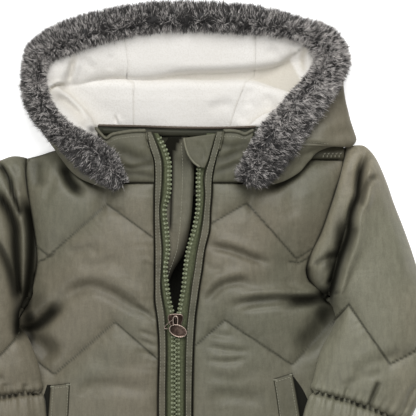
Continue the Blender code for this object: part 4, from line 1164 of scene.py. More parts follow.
def sleeve_ring(side, row):
    """One closed section of a sleeve, its underside on the surface or on the body's side."""
    sign = SIGN[side]
    inner = np.array((row.in_x, row.in_y, 0.0))
    outer = np.array((row.out_x, row.out_y, 0.0))

    def place(part, z):
        spot = inner + (outer - inner) * part
        if row.armhole_share and 0 < part < 1:
            seam = float(BODY_EDGE[side](ARMPIT_Y + (SHOULDER_Y - ARMPIT_Y) * part))
            spot[0] += (seam - spot[0]) * row.armhole_share
        spot[2] = z
        return tuple(spot)

    edge = row.edge
    inward = max(0.5, sign * (float(BODY_EDGE[side](row.in_y)) - row.in_x))
    if row.rides:
        edge = max(edge, float(front_height_at(side, row.in_x, row.in_y)) + 4.0)
    ring = []
    for part in TOP_PARTS:
        curve = sqrt(1 - (2 * part - 1) ** 2)
        low = edge + (row.edge - edge) * part
        ring.append(place(part, low + (row.top - low) * curve))
    span = sign * (row.out_x - row.in_x)
    if row.rides:
        beside_seam, clear = (inward + 0.9) / span, (inward + 7.0) / span
        ring += [place(part, 0.6) for part in (0.9, 0.7, 0.5, max(clear, 0.2))]
        ring.append(place(beside_seam, SIDE_SEAM_Z + 1.2))
        spot = place(beside_seam * 0.4, 0.0)
        ring.append(place(beside_seam * 0.4, float(front_height_at(side, *spot[:2])) + 1.5))
    else:
        ring += [place(part, 0.6) for part in TOP_PARTS[-2:0:-1]]
    return ring


SLEEVE_QUILT = {
    "right": (plan((24, 320), (16, 339), (0, 356), (-38, 300), (-92, 372)),
              plan((-2, 196), (-20, 180), (-48, 236), (-86, 196))),
    "left": (plan((326, 328), (333, 320), (347.5, 304), (390, 364), (416, 351), (446, 318)),
             plan((452, 240), (470, 214))),
}
SLEEVE_FOLDS = {
    "right": (
        Fold(curved((-6, 162), (2, 170), (7.5, 179), (12, 194), (16.5, 206), (20.5, 220)),
             2.2, 6.5, 0.4, 1.0),
        Fold(curved((2, 185), (12, 199), (19.5, 214), (23, 228), (23.5, 246), (23.5, 270),
                    (22, 288), (18.5, 306)), 2.8, -4.5, 0.0),
        Fold(curved((18, 192), (22, 202), (26.5, 214), (29, 230), (29.5, 250), (28, 270), (25, 290),
                    (21, 308), (19, 326)), 4.6, 9.0, 0.3, 1.0),
        Fold(curved((-12, 186), (0, 199), (8, 212), (13, 226), (14.5, 247), (15.5, 268), (16, 290),
                    (17, 310)), 4.0, 9.0, 0.2, 1.0),
        Fold(curved((-10, 236), (-1, 248), (5, 259), (10, 274), (13, 288), (16, 304)), 3.4, 4.0, 0.0,
             0.8),
        Fold(curved((34, 262), (30, 284), (24, 300), (19, 314), (19, 330), (26, 342)), 5.0, 1.5, 0.0,
             1.0),
        Fold(curved((12, 166), (15, 182), (20, 196)), 3.2, 2.0, 0.3, 0.1),
        Fold(curved((-56, 330), (-30, 318), (-6, 322)), 5.0, 2.6, 0.4),
        Fold(curved((-20, 392), (-8, 382), (6, 376)), 3.4, 2.6, 0.4),
        Fold(curved((22, 400), (24, 390), (26, 383)), 2.0, 3.0, 0.4),
        Fold(curved((2, 400), (4, 391), (5, 382)), 2.0, 2.4, 0.4),
        Fold(curved((-36, 402), (-32, 390), (-30, 378)), 2.4, 2.6, 0.4)),
    "left": (
        Fold(curved((372, 150), (366, 160), (362, 171), (360.3, 185), (359, 198), (354.5, 208),
                    (351.8, 218), (350.8, 232), (347.5, 244), (343, 256), (339, 268), (335, 284),
                    (331, 300), (328, 318)), 3.1, 9.5, 0.7, 1.0),
        Fold(curved((378, 176), (371, 179), (365.5, 187), (362.5, 197), (360, 208)), 2.4, 4.0, 0.6,
             0.55),
        Fold(curved((352, 222), (348, 236), (343, 248), (336, 256), (324, 261)), 6.0, 5.0, 0.1, 0.85),
        Fold(curved((345, 240), (340, 256), (335, 272), (330, 288)), 5.0, 3.0, 0.0, 0.95),
        Fold(curved((314, 267), (322, 261), (333, 257.5), (346, 257)), 2.2, 3.6, 0.1, 0.55),
        Fold(curved((329, 280), (333, 288), (337, 296)), 3.0, 4.0, 0.2, 0.7),
        Fold(curved((307, 262), (308, 276), (313, 289), (325, 298), (336, 301)), 4.6, 5.0, 0.1, 0.95),
        Fold(curved((352, 376), (368, 364), (388, 358), (404, 348)), 4.6, 2.4, 0.5),
        Fold(curved((344, 388), (362, 377), (384, 372)), 3.6, 1.8, 0.5),
        Fold(curved((368, 410), (373, 396), (379, 380)), 1.9, 5.0, 0.5, 0.5),
        Fold(curved((346, 405), (346, 396), (348, 386)), 1.7, 2.6, 0.4),
        Fold(curved((404, 412), (408, 398), (416, 384)), 2.4, 2.8, 0.4),
        Fold(curved((430, 250), (412, 270), (404, 300)), 6.0, 2.2, 0.4)),
}
# Where the padded arm stands over the cloth beside the armhole.
ARM_EDGE = {
    "right": curved((21, 332), (18, 318), (15.6, 304), (9.6, 282), (5, 267), (-1, 254), (-12, 236)),
    "left": curved((376, 140), (366, 160), (360.5, 180), (357, 205), (352, 230), (345, 256),
                   (337, 284), (329, 318)),
}
GATHERS = 34


def pleats(u, seed):
    """The same uneven pleats on both sides of an elastic line, round the sleeve."""
    turn = 2 * pi * u
    return np.sin(GATHERS * turn + 1.1 * np.sin(3 * turn + seed) + 0.8 * np.sin(7 * turn + 2 * seed))


def bowed(side, x):
    """How far the gathered line between sleeve and cuff bends up, across the sleeve."""
    part = np.clip((np.abs(x) - 122.0) / 82.0, 0, 1)
    return (6.5 if side == "right" else 3.0) * np.sin(pi * part)


# Deep shadows at the armpits: a pixel of the photograph, two reaches in millimetres, a depth.
Shadow = namedtuple("Shadow", "pixel_x pixel_y wide high depth")
SHADOWS = {
    "sleeve_right": (Shadow(24, 304, 8.0, 15.0, 1.0),),
    "sleeve_left": (Shadow(326, 297, 9.0, 13.0, 1.0), Shadow(342, 238, 7.5, 19.0, 0.92),
                    Shadow(334, 264, 8.5, 12.0, 0.85), Shadow(318, 282, 12.0, 14.0, 0.4)),
    "front_right": (Shadow(24, 304, 8.0, 15.0, 0.97), Shadow(28, 318, 8.0, 10.0, 0.97),
                    Shadow(29, 337, 6.0, 13.0, 0.9), Shadow(36, 306, 13.0, 14.0, 0.5)),
    "front_left": (Shadow(326, 297, 9.0, 13.0, 0.97), Shadow(325, 314, 9.0, 17.0, 0.85),
                   Shadow(306, 298, 20.0, 3.4, 0.6)),
}


def shadowed(piece, x, y):
    """The deep shadows where a sleeve, the front and the back panel meet."""
    dark = np.zeros(np.shape(x))
    for place in SHADOWS[piece]:
        (mid_x, mid_y), = plan((place.pixel_x, place.pixel_y))
        away = np.hypot((x - mid_x) / place.wide, (y - mid_y) / place.high)
        dark = np.maximum(dark, place.depth * np.exp(-away ** 3))
    return dark


def run_down(grid):
    """How far each row of a sleeve is from its first one, averaged round the sleeve."""
    end = np.linalg.norm(np.diff(grid, axis=0), axis=2).mean(axis=1)
    return np.concatenate(([0.0], np.cumsum(end)))[:, None]


def round_share(columns, side):
    """How far round the sleeve each column is, from 0 to 1, mirrored on the wearer's right."""
    part = np.linspace(0, 1, columns, endpoint=False)[None, :]
    return 1 - part if side == "right" else part


def sleeve_swell(side, x, y, around, above, below):
    """How far the padding stands off the sleeve's plain form, gathered at its end."""
    seed = SLEEVE_SEED[side]
    swell = puffed(x, y, SLEEVE_QUILT[side], PUFF, PUFF_REACH)
    swell = swell * (1 - np.exp(-below / 4.0)) * (1 - np.exp(-above / 3.0)) - PUFF * 0.6
    for k, path in enumerate(SLEEVE_QUILT[side]):
        swell += puckers(x, y, path, 0.34, 7.5, 6.0, k + 3)
    swell += (1 - np.exp(-above / 20)) * (0.9 * unevenness(x, y, 16.0, seed)
                                          + 0.3 * unevenness(x, y, 6.0, seed + 2))
    swell += 1.5 * pleats(around, seed) * np.exp(-below / 7.0)
    swell += 1.6 * np.exp(-((below - 6.0) / 4.0) ** 2) - 2.4 * np.exp(-(below / 1.7) ** 2)
    return swell


def elastic_shade(side, around, away):
    """Painted shade in dashes between the gathers of the elastic line."""
    return np.exp(-(away / 1.2) ** 2) * (0.5 - 0.35 * pleats(around, SLEEVE_SEED[side]))


def sleeve_shade(side, x, y, around, above, below):
    """The darkness of a sleeve's seams, its elastic line, its armhole and its armpit."""
    dark = seam_shade(x, y, SLEEVE_QUILT[side], 1.0)
    dark = np.maximum(dark * 0.8, elastic_shade(side, around, below))
    deep = 4.5 * ease((62.0 - y) / 50.0) * ease((y + 45.0) / 20.0) if side == "right" else 0.0
    dark = np.maximum(dark, 0.95 * np.exp(-((above - 3.0) / (2.2 + deep)) ** 2))
    return np.maximum(dark, shadowed("sleeve_" + side, x, y))


def sleeve_grid(side):
    rings = [armhole_ring(side, 3.2), armhole_ring(side, 0.0)]
    rings += [sleeve_ring(side, row) for row in SLEEVE_ROWS[side]]
    rings, = facing_up(side, np.array(rings))
    grid = woven(rings, SLEEVE_STEP, ring=True)
    grid[..., 2] = np.maximum(grid[..., 2], 0.6)
    below = run_down(grid[::-1])[::-1]
    grid[..., 1] += bowed(side, grid[..., 0]) * np.exp(-(below / 26.0) ** 2)
    x, y = grid[..., 0], grid[..., 1]
    faces = outward(grid, ring=True)
    upper = ease(faces[..., 2] * 1.6 + 0.2)
    around = round_share(x.shape[1], side)
    above, below = run_down(grid), run_down(grid[::-1])[::-1]
    swell = sleeve_swell(side, x, y, around, above, below)
    pressed, shaded = folded(x, y, SLEEVE_FOLDS[side], 0.15)
    pressed = pressed * upper
    pressed += upper * ledge(x, y, ARM_EDGE[side], 4.5, 2.0, 26.0, 0.2)
    low = np.maximum(0.0, 2.0 - grid[..., 2]) / 2.0
    swell = swell * (1 - 0.7 * low)
    # Painted shade on the sleeve: its seams, elastic line, armhole, armpit and folds.
    dark = sleeve_shade(side, x, y, around, above, below)
    dark = np.maximum(dark, shaded * ease(faces[..., 2] * 3.0 + 1.0))
    grid = grid + faces * swell[..., None]
    grid[..., 2] = np.maximum(grid[..., 2] + pressed, 0.1)
    return grid, dark


def cuff_grid(side):
    rings, = facing_up(side, np.array([sleeve_ring(side, row) for row in CUFF_ROWS[side]]))
    hidden = rings[:1] - (rings[1:2] - rings[:1]) * 0.35
    rings = np.concatenate((hidden, rings))
    grid = woven(rings, CUFF_STEP, ring=True)
    grid[..., 1] += bowed(side, grid[..., 0])
    grid[..., 2] = np.maximum(grid[..., 2], 0.6)
    faces = outward(grid, ring=True)
    around = round_share(grid.shape[1], side)
    above = run_down(grid) - np.linalg.norm(rings[1] - rings[0], axis=1).mean()
    below = above[-1] - above
    above = np.maximum(above, 0.0)
    seed = SLEEVE_SEED[side]
    swell = 1.5 * pleats(around, seed) * (0.16 + 0.84 * np.exp(-above / 7.0))
    swell = swell + 1.3 * np.sin(14 * pi * around + 1.3 * np.sin(6 * pi * around + seed))
    swell = swell + 2.2 * (1 - np.exp(-above / 3.5)) - 2.0 * np.exp(-(above / 1.6) ** 2)
    swell = swell + 1.0 * pleats(around, seed + 1) * np.exp(-below / 5.0)
    swell = swell - 1.5 * np.exp(-(below / 2.5) ** 2)
    grid = grid + faces * swell[..., None]
    grid[..., 2] = np.maximum(grid[..., 2], 0.1)
    return grid, elastic_shade(side, around, above)


def make_sleeves():
    for side in SIDES:
        # The wearer's left sleeve and cuff take the lit copy of the satin: painted light.
        dye = LIT_SHELL if side == "left" else SHELL
        grid, dark = sleeve_grid(side)
        cloth("sleeve_" + side, grid, 2.0, dye, ring=True,
              sunk=dark)
        stitched("quilt_thread_sleeve_" + side, SLEEVE_QUILT[side], surface_of(grid),
                 thick=0.27, lift=0.1)
        grid, dark = cuff_grid(side)
        cloth("cuff_" + side, grid, 1.8, dye,
              ring=True, sunk=dark)


# ---------------------------------------------------------------- hood

HOOD_RIGHT = (
    ((-49.0, 75.0, 31.0), (-62.0, 69.5, 29.0), (-62.0, 70.5, 27.8), (-59.0, 73.5, 27.8)),
    ((-72.0, 91.0, 29.0), (-87.5, 80.5, 26.0), (-87.5, 82.5, 24.0), (-82.0, 89.0, 23.5)),
    ((-94.5, 112.1, 23.5), (-109.5, 104.5, 12.0), (-104.0, 108.0, 3.0), (-54.0, 107.0, 0.0)),
    ((-119.3, 138.6, 20.5), (-129.6, 135.9, 10.0), (-118.0, 139.0, 0.2), (-46.4, 118.0, 0.0)),
    ((-128.7, 169.2, 20.5), (-136.8, 169.2, 10.0), (-124.0, 168.0, 0.2), (-46.4, 138.0, 0.0)),
    ((-115.7, 197.1, 20.5), (-124.2, 201.6, 10.0), (-113.0, 193.0, 0.2), (-46.4, 158.0, 0.0)),
    ((-89.1, 209.7, 20.5), (-95.4, 217.8, 10.0), (-88.0, 206.0, 0.2), (-46.4, 178.0, 0.0)),
    ((-48.9, 219.6, 20.5), (-51.0, 230.0, 10.0), (-49.0, 217.0, 0.2), (-46.4, 198.0, 0.0)),
)
HOOD_LEFT = (
    ((74.5, 221.0, 20.5), (76.5, 230.5, 10.0), (74.0, 217.0, 0.2), (71.9, 198.0, 0.0)),
    ((105.3, 214.7, 20.5), (109.7, 220.4, 10.0), (102.0, 207.0, 0.2), (71.9, 180.0, 0.0)),
    ((130.0, 205.7, 20.5), (139.0, 208.7, 10.0), (127.0, 198.0, 0.2), (71.9, 164.0, 0.0)),
    ((142.2, 186.8, 20.5), (152.5, 187.2, 10.0), (140.0, 183.0, 0.2), (71.9, 150.0, 0.0)),
    ((131.0, 163.0, 22.0), (151.8, 164.0, 11.0), (141.0, 163.0, 0.2), (71.9, 141.0, 0.0)),
    ((121.0, 148.0, 24.0), (153.8, 149.0, 12.0), (143.0, 149.0, 0.2), (71.9, 133.0, 0.0)),
    ((112.0, 135.0, 26.0), (156.6, 135.0, 12.5), (146.0, 135.0, 0.2), (71.9, 126.0, 0.0)),
    ((106.0, 125.0, 27.5), (160.8, 121.8, 12.5), (150.0, 121.5, 0.4), (71.9, 119.0, 0.0)),
    ((102.0, 118.5, 28.5), (162.8, 113.6, 12.5), (151.5, 114.0, 0.8), (72.0, 113.0, 0.3)),
    ((98.0, 112.0, 29.0), (158.5, 108.2, 13.5), (148.0, 109.5, 1.5), (73.5, 109.5, 1.0)),
    ((94.5, 107.0, 29.5), (140.5, 107.6, 16.0), (133.0, 108.8, 9.0), (79.0, 108.0, 7.0)),
    ((91.0, 101.5, 30.0), (128.5, 103.0, 18.5), (122.0, 105.5, 13.0), (84.0, 106.5, 12.0)),
    ((85.5, 94.5, 30.5), (121.0, 96.0, 20.5), (115.5, 99.0, 16.5), (88.0, 99.5, 17.0)),
    ((78.5, 87.0, 31.0), (111.5, 85.0, 23.5), (107.5, 87.5, 20.5), (91.0, 91.0, 22.0)),
    ((72.0, 81.0, 31.5), (98.0, 76.8, 26.8), (95.5, 79.0, 24.5), (86.0, 83.0, 25.0)),
    ((66.0, 77.5, 31.5), (88.0, 73.4, 28.4), (86.5, 76.0, 26.5), (80.0, 79.0, 27.0)),
)


def hood_side_grid(rows):
    grid = []
    for rim, out, foot, inner in np.array(rows):
        swell = 0.1 * np.linalg.norm(out - rim)
        first = rim + (out - rim) * 0.33 + (0, 0, swell * 0.9)
        second = rim + (out - rim) * 0.7 + (0, 0, swell)
        grid.append([rim, first, second, out, foot, (foot + inner) / 2, inner])
    grid = woven(grid, 2.0)
    grid[..., 2] = np.maximum(grid[..., 2], 0.1)
    return grid


def make_hood_shell():
    folds = (
        (curved((296, 143), (306, 143), (318, 144), (331, 145.5)), 1.5, 1.9, 0.9),
        (curved((343, 92), (334, 108), (326, 128)), 7.0, 1.8, 0.3),
        (curved((352, 128), (340, 134), (326, 137)), 4.5, 1.7, 0.5),
        (curved((322, 150), (308, 154), (296, 160)), 3.0, 1.6, 0.5),
        (curved((311, 158), (300, 164), (288, 176)), 3.4, 1.2, 0.4),
        (curved((330, 112), (316, 130), (308, 140)), 5.0, 1.0, 0.3))
    for side, rows in (("right", HOOD_RIGHT), ("left", HOOD_LEFT)):
        grid = hood_side_grid(rows)
        faces = outward(grid)
        x, y = grid[..., 0], grid[..., 1]
        upper = ease(faces[..., 2] * 2.0)
        swell = 0.5 * unevenness(x, y, 12.0, 81) + 0.2 * unevenness(x, y, 5.0, 82)
        if side == "left":
            for path, width, depth, lean in folds:
                swell = swell + trough(x, y, path, width, depth, lean)
        grid = grid + faces * (swell * upper)[..., None]
        grid[..., 2] = np.maximum(grid[..., 2], 0.05)
        cloth("hood_side_" + side, grid, 1.5, SHELL)
        if side == "left":
            row = plan((304, 142), (312, 142.3), (320, 142.8), (329, 144))
            stitched("hood_thread", [row], surface_of(grid), pitch=2.4, thick=0.26,
                     dye=PALE_THREAD)
    across = (-46.0, -20.0, 12.0, 45.0, 71.5)
    steps = ((220.5, 20.5), (229.0, 16.0), (231.0, 10.0), (226.0, 3.0), (217.0, 0.4),
             (180.0, 0.1), (135.0, 0.1), (93.0, 0.1))
    grid = woven([[(x, y, z) for x in across] for y, z in steps], 2.4)[:, ::-1]
    grid[..., 2] += 0.3 * np.abs(unevenness(grid[..., 0], grid[..., 1], 11.0, 83))
    cloth("hood_centre", grid, 1.5, SHELL)
    roll = []
    for x in np.linspace(121.0, 152.0, 12):
        roll.append([(x, y, z) for y, z in ((95.4, 7.0), (98.0, 10.4), (102.0, 11.6),
                                            (106.5, 9.6), (110.5, 6.0), (111.0, 1.2))])
    roll = woven(np.array(roll).swapaxes(0, 1)[::-1], 1.4)
    x, y = roll[..., 0], roll[..., 1]
    roll[..., 2] += 0.35 * unevenness(x, y, 4.0, 84)
    # Painted shade over the whole roll, deeper along its edges.
    shade = 0.35 + 0.6 * seam_shade(x, y, [edge_of(roll, "bottom"), edge_of(roll, "top")], 2.0)
    cloth("shoulder_roll_left", roll, 1.4, COLLAR, nodes=(),
          sunk=shade)
    rows = [curved((a, 157.5), (a + 0.5, 153.5), (a + 3, 152.2)) for a in (324, 328, 332, 336, 340)]
    stitched("shoulder_thread_left", rows, surface_of(roll), pitch=2.5, thick=0.42,
             dye=PALE_THREAD)


# ---------------------------------------------------------------- fleece

LOW_BAND_TOP = curved((40, 93), (50, 90), (58, 87), (68, 85.8), (80, 84.5), (93, 80.5), (108, 78.6),
                      (126, 78.6), (140, 80), (157, 80), (180, 78.6), (208, 80), (235, 79),
                      (258, 81), (272, 86), (288, 92), (304, 100))
HIGH_BAND_FOOT = curved((40, 91.5), (58, 85.6), (80, 83), (95, 79), (110, 77.2), (126, 77), (140, 78),
                        (150, 77.6), (165, 75.5), (178, 73.2), (196, 72), (212, 71.6),
                        (235, 70.6), (255, 68.7), (277, 65), (286, 60.5), (293, 55))
FLAP_EDGE = curved((55, 85.5), (63, 90.5), (72, 98), (81, 107), (88.5, 116), (93, 125), (95, 137))
SMALL_LOBE = curved((244, 131), (250, 125), (257, 118.5), (264, 114), (274, 111.5), (284, 111))
FLEECE_SEAMS = {
    "right": plan((124, 36), (126.5, 50), (128, 64), (127.5, 79), (133, 82), (133, 100),
                  (133, 128)),
    "left": plan((255, 36), (255.5, 50), (255, 68), (254, 76), (246, 81), (241, 93), (236, 106),
                 (232, 118), (229, 130)),
}
SIDE_RIM = {
    "right": plan((126, 32), (108, 38), (88, 45), (66, 51), (50, 57), (41, 66), (40, 80),
                  (45, 98), (54, 114), (66, 124), (80, 132), (96, 142), (104, 150)),
    "left": plan((254, 30), (270, 31), (288, 34), (305, 40), (317, 48), (321, 58), (317, 70),
                 (308, 82), (297, 94), (284, 108), (272, 120), (262, 134), (258, 142)),
}
HOLLOW = curved((54, 93), (61, 98.5), (69, 105), (77, 113), (83, 121))
LEFT_CREASE = curved((49.5, 91), (52, 87), (57, 84.6), (64, 83.8))
SIDE_DIP = curved((74, 57), (71.5, 65), (69.5, 73), (66, 82))
ROLL_CREASE = curved((306, 46), (303.5, 54), (302.5, 61), (304, 68))
ROLL_EDGE = curved((289, 46), (290, 57), (296, 70), (303, 85), (307, 94))


def fleece_height(x, y):
    """The fleece inside the hood: two soft bands, a valley between, and sides up to the trim."""
    low_gap, low_side = beside(x, y, LOW_BAND_TOP)[:2]
    high_gap, high_side = beside(x, y, HIGH_BAND_FOOT)[:2]
    over_low = low_gap * low_side
    over_high = high_gap * high_side
    rise = np.interp(y, (104.0, 122.0, 150.0, 170.0), (9.0, 13.0, 19.5, 21.5))
    roll = np.sqrt(np.clip(1 - (np.maximum(over_low + 9.0, 0) / 9.5) ** 2, 0.02, 1))
    roll = roll + (1 - roll) * ease((-66.0 - x) / 22.0)
    valley = np.interp(x, (-88.0, -66.0, -25.0, 5.0), (20.0, 16.0, 14.0, 10.5))
    valley = valley + 0.05 * np.clip(over_low, 0, 60)
    low_band = rise * (0.6 + 0.4 * roll)
    height = low_band + (valley - low_band) * 0.5 * (1 + np.tanh(over_low / 1.1))
    reach = np.interp(x, (-90.0, -20.0, 10.0), (20.0, 15.0, 8.0))
    swell = np.sqrt(np.clip(1 - (np.clip(reach - over_high, 0, 40) / (reach + 0.4)) ** 2, 0.0, 1))
    high_band = valley + (23.5 - valley) * swell + 0.03 * np.clip(over_high, 0, 40)
    return height + (high_band - height) * 0.5 * (1 + np.tanh(over_high / 1.0))


def fleece_folds(x, y):
    height = trough(x, y, LEFT_CREASE, 1.3, 3.6, 0.7)
    height = height + trough(x, y, SIDE_DIP, 2.8, 4.4, 0.5)
    height = height + knoll(x, y, 57, 71, 8.0, 10.0, 2.6) + knoll(x, y, 74, 123, 13.0, 9.0, 2.4)
    height = height + trough(x, y, curved((114, 113), (115, 119), (116.3, 126)), 1.6, 2.4, 0.6, 0.5)
    height = height + trough(x, y, HOLLOW, 5.0, 6.0, 0.1)
    height = height - ledge(x, y, FLAP_EDGE, 8.5, 1.5, 26.0, 0.16)
    height = height - ledge(x, y, SMALL_LOBE, 4.0, 1.6, 16.0, 0.25)
    height = height + trough(x, y, curved((252, 84), (248, 96), (250, 110)), 5.0, 1.6, 0.4)
    height = height + trough(x, y, curved((262, 96), (270, 102), (266, 112)), 4.5, 1.3, 0.4)
    height = height + trough(x, y, curved((268, 46), (276, 54), (280, 64)), 4.0, 1.5, 0.4)
    height = height + trough(x, y, curved((208, 112), (222, 104), (236, 106)), 5.0, 1.2, 0.4)
    height = height + trough(x, y, curved((82, 54), (86, 62), (96, 70)), 4.0, 1.4, 0.4)
    height = height + trough(x, y, curved((110, 52), (112, 62), (110, 72)), 4.5, 1.0, 0.4)
    height = height + trough(x, y, ROLL_CREASE, 2.2, 3.4, 0.5, 0.5)
    height = height + knoll(x, y, 308.5, 58, 7.0, 12.0, 2.6)
    height = height + 0.6 * unevenness(x, y, 11.0, 91) + 0.15 * unevenness(x, y, 4.0, 92)
    return height


def fleece_shade(x, y):
    """Painted shade on the cream fleece: a warm beige in its folds, seams and hollows, in the valley
    between the bands and beside their edges.
    """
    shade = np.exp(-(beside(x, y, LEFT_CREASE)[0] / 1.2) ** 2)
    for side in SIDES:
        gap = beside(x, y, FLEECE_SEAMS[side])[0]
        shade = np.maximum(shade, 0.3 * np.exp(-(gap / 0.8) ** 2))
    shade = np.maximum(shade, 0.42 * np.exp(-(beside(x, y, HOLLOW)[0] / 6.0) ** 2))
    shade = np.maximum(shade, 0.5 * np.exp(-(beside(x, y, ROLL_CREASE)[0] / 2.4) ** 2))
    shade = np.maximum(shade, 0.4 * np.exp(-(beside(x, y, SIDE_DIP)[0] / 3.4) ** 2))
    gap, side = beside(x, y, FLAP_EDGE)[:2]
    shade = np.maximum(shade, 0.55 * np.exp(-gap / 6.0) * (side > 0))
    gap, side = beside(x, y, SMALL_LOBE)[:2]
    shade = np.maximum(shade, 0.55 * np.exp(-gap / 4.0) * (side > 0))
    low_gap, low_side = beside(x, y, LOW_BAND_TOP)[:2]
    high_gap, high_side = beside(x, y, HIGH_BAND_FOOT)[:2]
    between = (low_side > 0) & (high_side < 0)
    roll_gap, roll_side = beside(x, y, ROLL_EDGE)[:2]
    valley = between * ease(np.minimum(low_gap, high_gap) / 2.0 + 0.4)
    valley = valley * ease(0.5 - roll_gap * roll_side / 3.0)
    deeper = 0.44 + 0.2 * ease((x - 58.0) / 22.0)
    shade = np.maximum(shade, deeper * valley * ease((x + 55.0) / 40.0))
    dim = (low_side > 0) * np.exp(-low_gap / 9.0) * ease((-25.0 - x) / 30.0)
    shade = np.maximum(shade, dim * np.interp(x, (-95.0, -70.0), (0.12, 0.34)))
    dim = (high_side > 0) * np.exp(-high_gap / 4.0) * ease((x + 60.0) / 40.0)
    shade = np.maximum(shade, 0.26 * dim)
    # Painted shade over the wearer's left part of the fleece.
    shade = shade + 0.09 * ease((x - 60.0) / 20.0)
    return np.clip(shade + 0.07 * (1 + unevenness(x, y, 13.0, 93)), 0, 1)


def fleece_seam_x(side, y):
    path = FLEECE_SEAMS[side]
    return np.interp(y, path[::-1, 1], path[::-1, 0])


def held_up(x, y):
    """1 where the fleece follows the trim, 0 where it dives behind the collar's ends."""
    return 1 - ease((x + 82.0) / 8.0) * ease((96.0 - x) / 8.0) * ease((128.0 - y) / 8.0)


def fleece_surface(x, y):
    seams = np.zeros(np.shape(x))
    for side in SIDES:
        gap = beside(x, y, FLEECE_SEAMS[side])[0]
        seams = seams - 0.22 * np.exp(-(gap / 2.0) ** 2)
    rim = np.concatenate((SIDE_RIM["right"][::-1], SIDE_RIM["left"]))
    gap, side = beside(x, y, rim)[:2]
    lifted = ease(1 - gap / 34.0)
    height = fleece_height(x, y)
    lifted = np.maximum(0.75 * lifted, ease(1 - gap / 16.0))
    height = height + (27.5 - height) * lifted * held_up(x, y)
    return height + fleece_folds(x, y) + seams


def make_fleece():
    y = np.linspace(214.0, 106.0, FLEECE_ROWS)[:, None]
    part = np.linspace(-0.007, 1.007, FLEECE_COLUMNS)[None, :]
    right, left = fleece_seam_x("right", y), fleece_seam_x("left", y)
    x, y = np.broadcast_arrays(right + (left - right) * part, y)
    z = fleece_surface(x, y)
    z = z + (6.5 - z) * ease((122.0 - y) / 14.0)
    cloth("lining_centre", laid(x, y, z), 1.6, FLEECE,
          sunk=fleece_shade(x, y))
    for side in SIDES:
        rim = spaced(SIDE_RIM[side], FLEECE_STEP)
        inner = spaced(FLEECE_SEAMS[side], FLEECE_STEP)
        stops = np.linspace(0, 1, len(rim))
        inner = through(inner, np.linspace(0, 1, len(inner)), stops)
        part = np.linspace(0, 1, FLEECE_SIDE_COLUMNS)[None, :, None]
        flat = rim[:, None] + (inner[:, None] - rim[:, None]) * part
        if side == "left":
            flat = flat[:, ::-1]
        x, y = flat[..., 0], flat[..., 1]
        z = fleece_surface(x, y)
        gap = beside(x, y, rim)[0]
        z = np.maximum(z, (20.5 - gap * 1.2) * held_up(x, y))
        grid = laid(x, y, z)
        cloth("lining_side_" + side, grid, 1.6, FLEECE,
              sunk=fleece_shade(x, y))


# ---------------------------------------------------------------- trim fur

FurRow = namedtuple("FurRow", "in_x in_y out_x out_y bottom top")
FUR_ROWS = tuple(FurRow(*row) for row in (
    (127, 181, 114, 188, 31.5, 41.0), (121, 167, 105, 186, 31.0, 42.5),
    (115, 153, 90, 177, 29.5, 43.0), (99, 140, 74, 165, 26.0, 41.0),
    (84, 132, 57, 147, 22.0, 40.0), (71, 125, 42, 132, 21.0, 39.5),
    (59, 114, 29, 115, 21.0, 39.0), (50, 99, 22, 97, 21.0, 39.0),
    (45, 80, 21, 78, 21.0, 39.0), (46, 68, 23, 57, 21.0, 39.0),
    (52, 60, 30, 42, 21.0, 39.0), (66, 54.5, 50, 27, 21.0, 39.0),
    (86, 48, 78, 15.5, 21.0, 39.0), (110, 41, 106, 9, 21.0, 39.0),
    (135, 35, 133, 4, 21.0, 39.0), (165, 32, 163, 1, 21.0, 39.0),
    (200, 31, 200, 1, 21.0, 39.0), (235, 33, 238, 3, 21.0, 39.0),
    (261, 34, 268, 8, 21.0, 39.0), (285, 37.5, 297, 16, 21.0, 39.0),
    (303, 43.5, 325, 24, 21.0, 39.0), (313, 52, 343, 38, 21.0, 39.5),
    (315, 60, 350, 57, 21.5, 40.0), (311, 70, 348, 71, 22.0, 40.5),
    (302, 81, 341, 86, 22.5, 41.0), (292, 92, 331, 101, 23.0, 41.0),
    (281, 105, 320, 117, 24.2, 42.0), (269, 117, 310, 130, 26.0, 42.5),
    (259, 131, 301, 146, 28.0, 43.0), (250, 146, 291, 160, 29.5, 43.5),
    (243, 160, 280, 173, 30.5, 44.0), (237, 171, 268, 184, 31.2, 43.5),
    (240, 179, 256, 186, 31.7, 41.5)))
INNER_INSET, OUTER_INSET = 3.4, 6.6
HAIRS = 120000
CLUMPS = 6000
FUR_PARTS = 4
# Painted light along the trim: it raises how many hairs are frosted, most on the wearer's left side
# where the light falls, least at the two tips.
FUR_LIGHT = Line(((0.0, 0.55), (0.12, 0.6), (0.25, 1.35), (0.4, 0.95), (0.55, 0.95), (0.69, 2.9),
                 (0.8, 2.0), (0.92, 0.8), (1.0, 0.6)))


def fur_sections():
    rows = []
    for row in FUR_ROWS:
        inner, outer = plan((row.in_x, row.in_y), (row.out_x, row.out_y))
        way = (outer - inner) / np.linalg.norm(outer - inner)
        inner, outer = inner + way * INNER_INSET, outer - way * OUTER_INSET
        middle = (inner + outer) / 2
        half = np.linalg.norm(outer - inner) / 2
        level, high = (row.bottom + row.top) / 2, (row.top - row.bottom) / 2
        rows.append((*middle, level, *(way * half), high))
    return np.array(rows)


def fur_point(sections, along, around):
    """A point of the trim's skin, and the direction it faces. `along` runs from 0 to 1."""
    stops = np.linspace(0, 1, len(sections))
    there = through(sections, stops, along)
    middle, half, high = there[:, :3], there[:, 3:5], there[:, 5]
    c, s = np.cos(around), np.sin(around)
    zero = 0 * c
    reach = np.stack((half[:, 0] * c, half[:, 1] * c, high * s), axis=1)
    width = np.linalg.norm(half, axis=1)
    across = np.stack((half[:, 0] / width, half[:, 1] / width, zero), axis=1)
    facing = across * (c / width)[:, None] + np.stack((zero, zero, s / high), axis=1)
    facing /= np.linalg.norm(facing, axis=1, keepdims=True)
    return middle + reach, facing, across


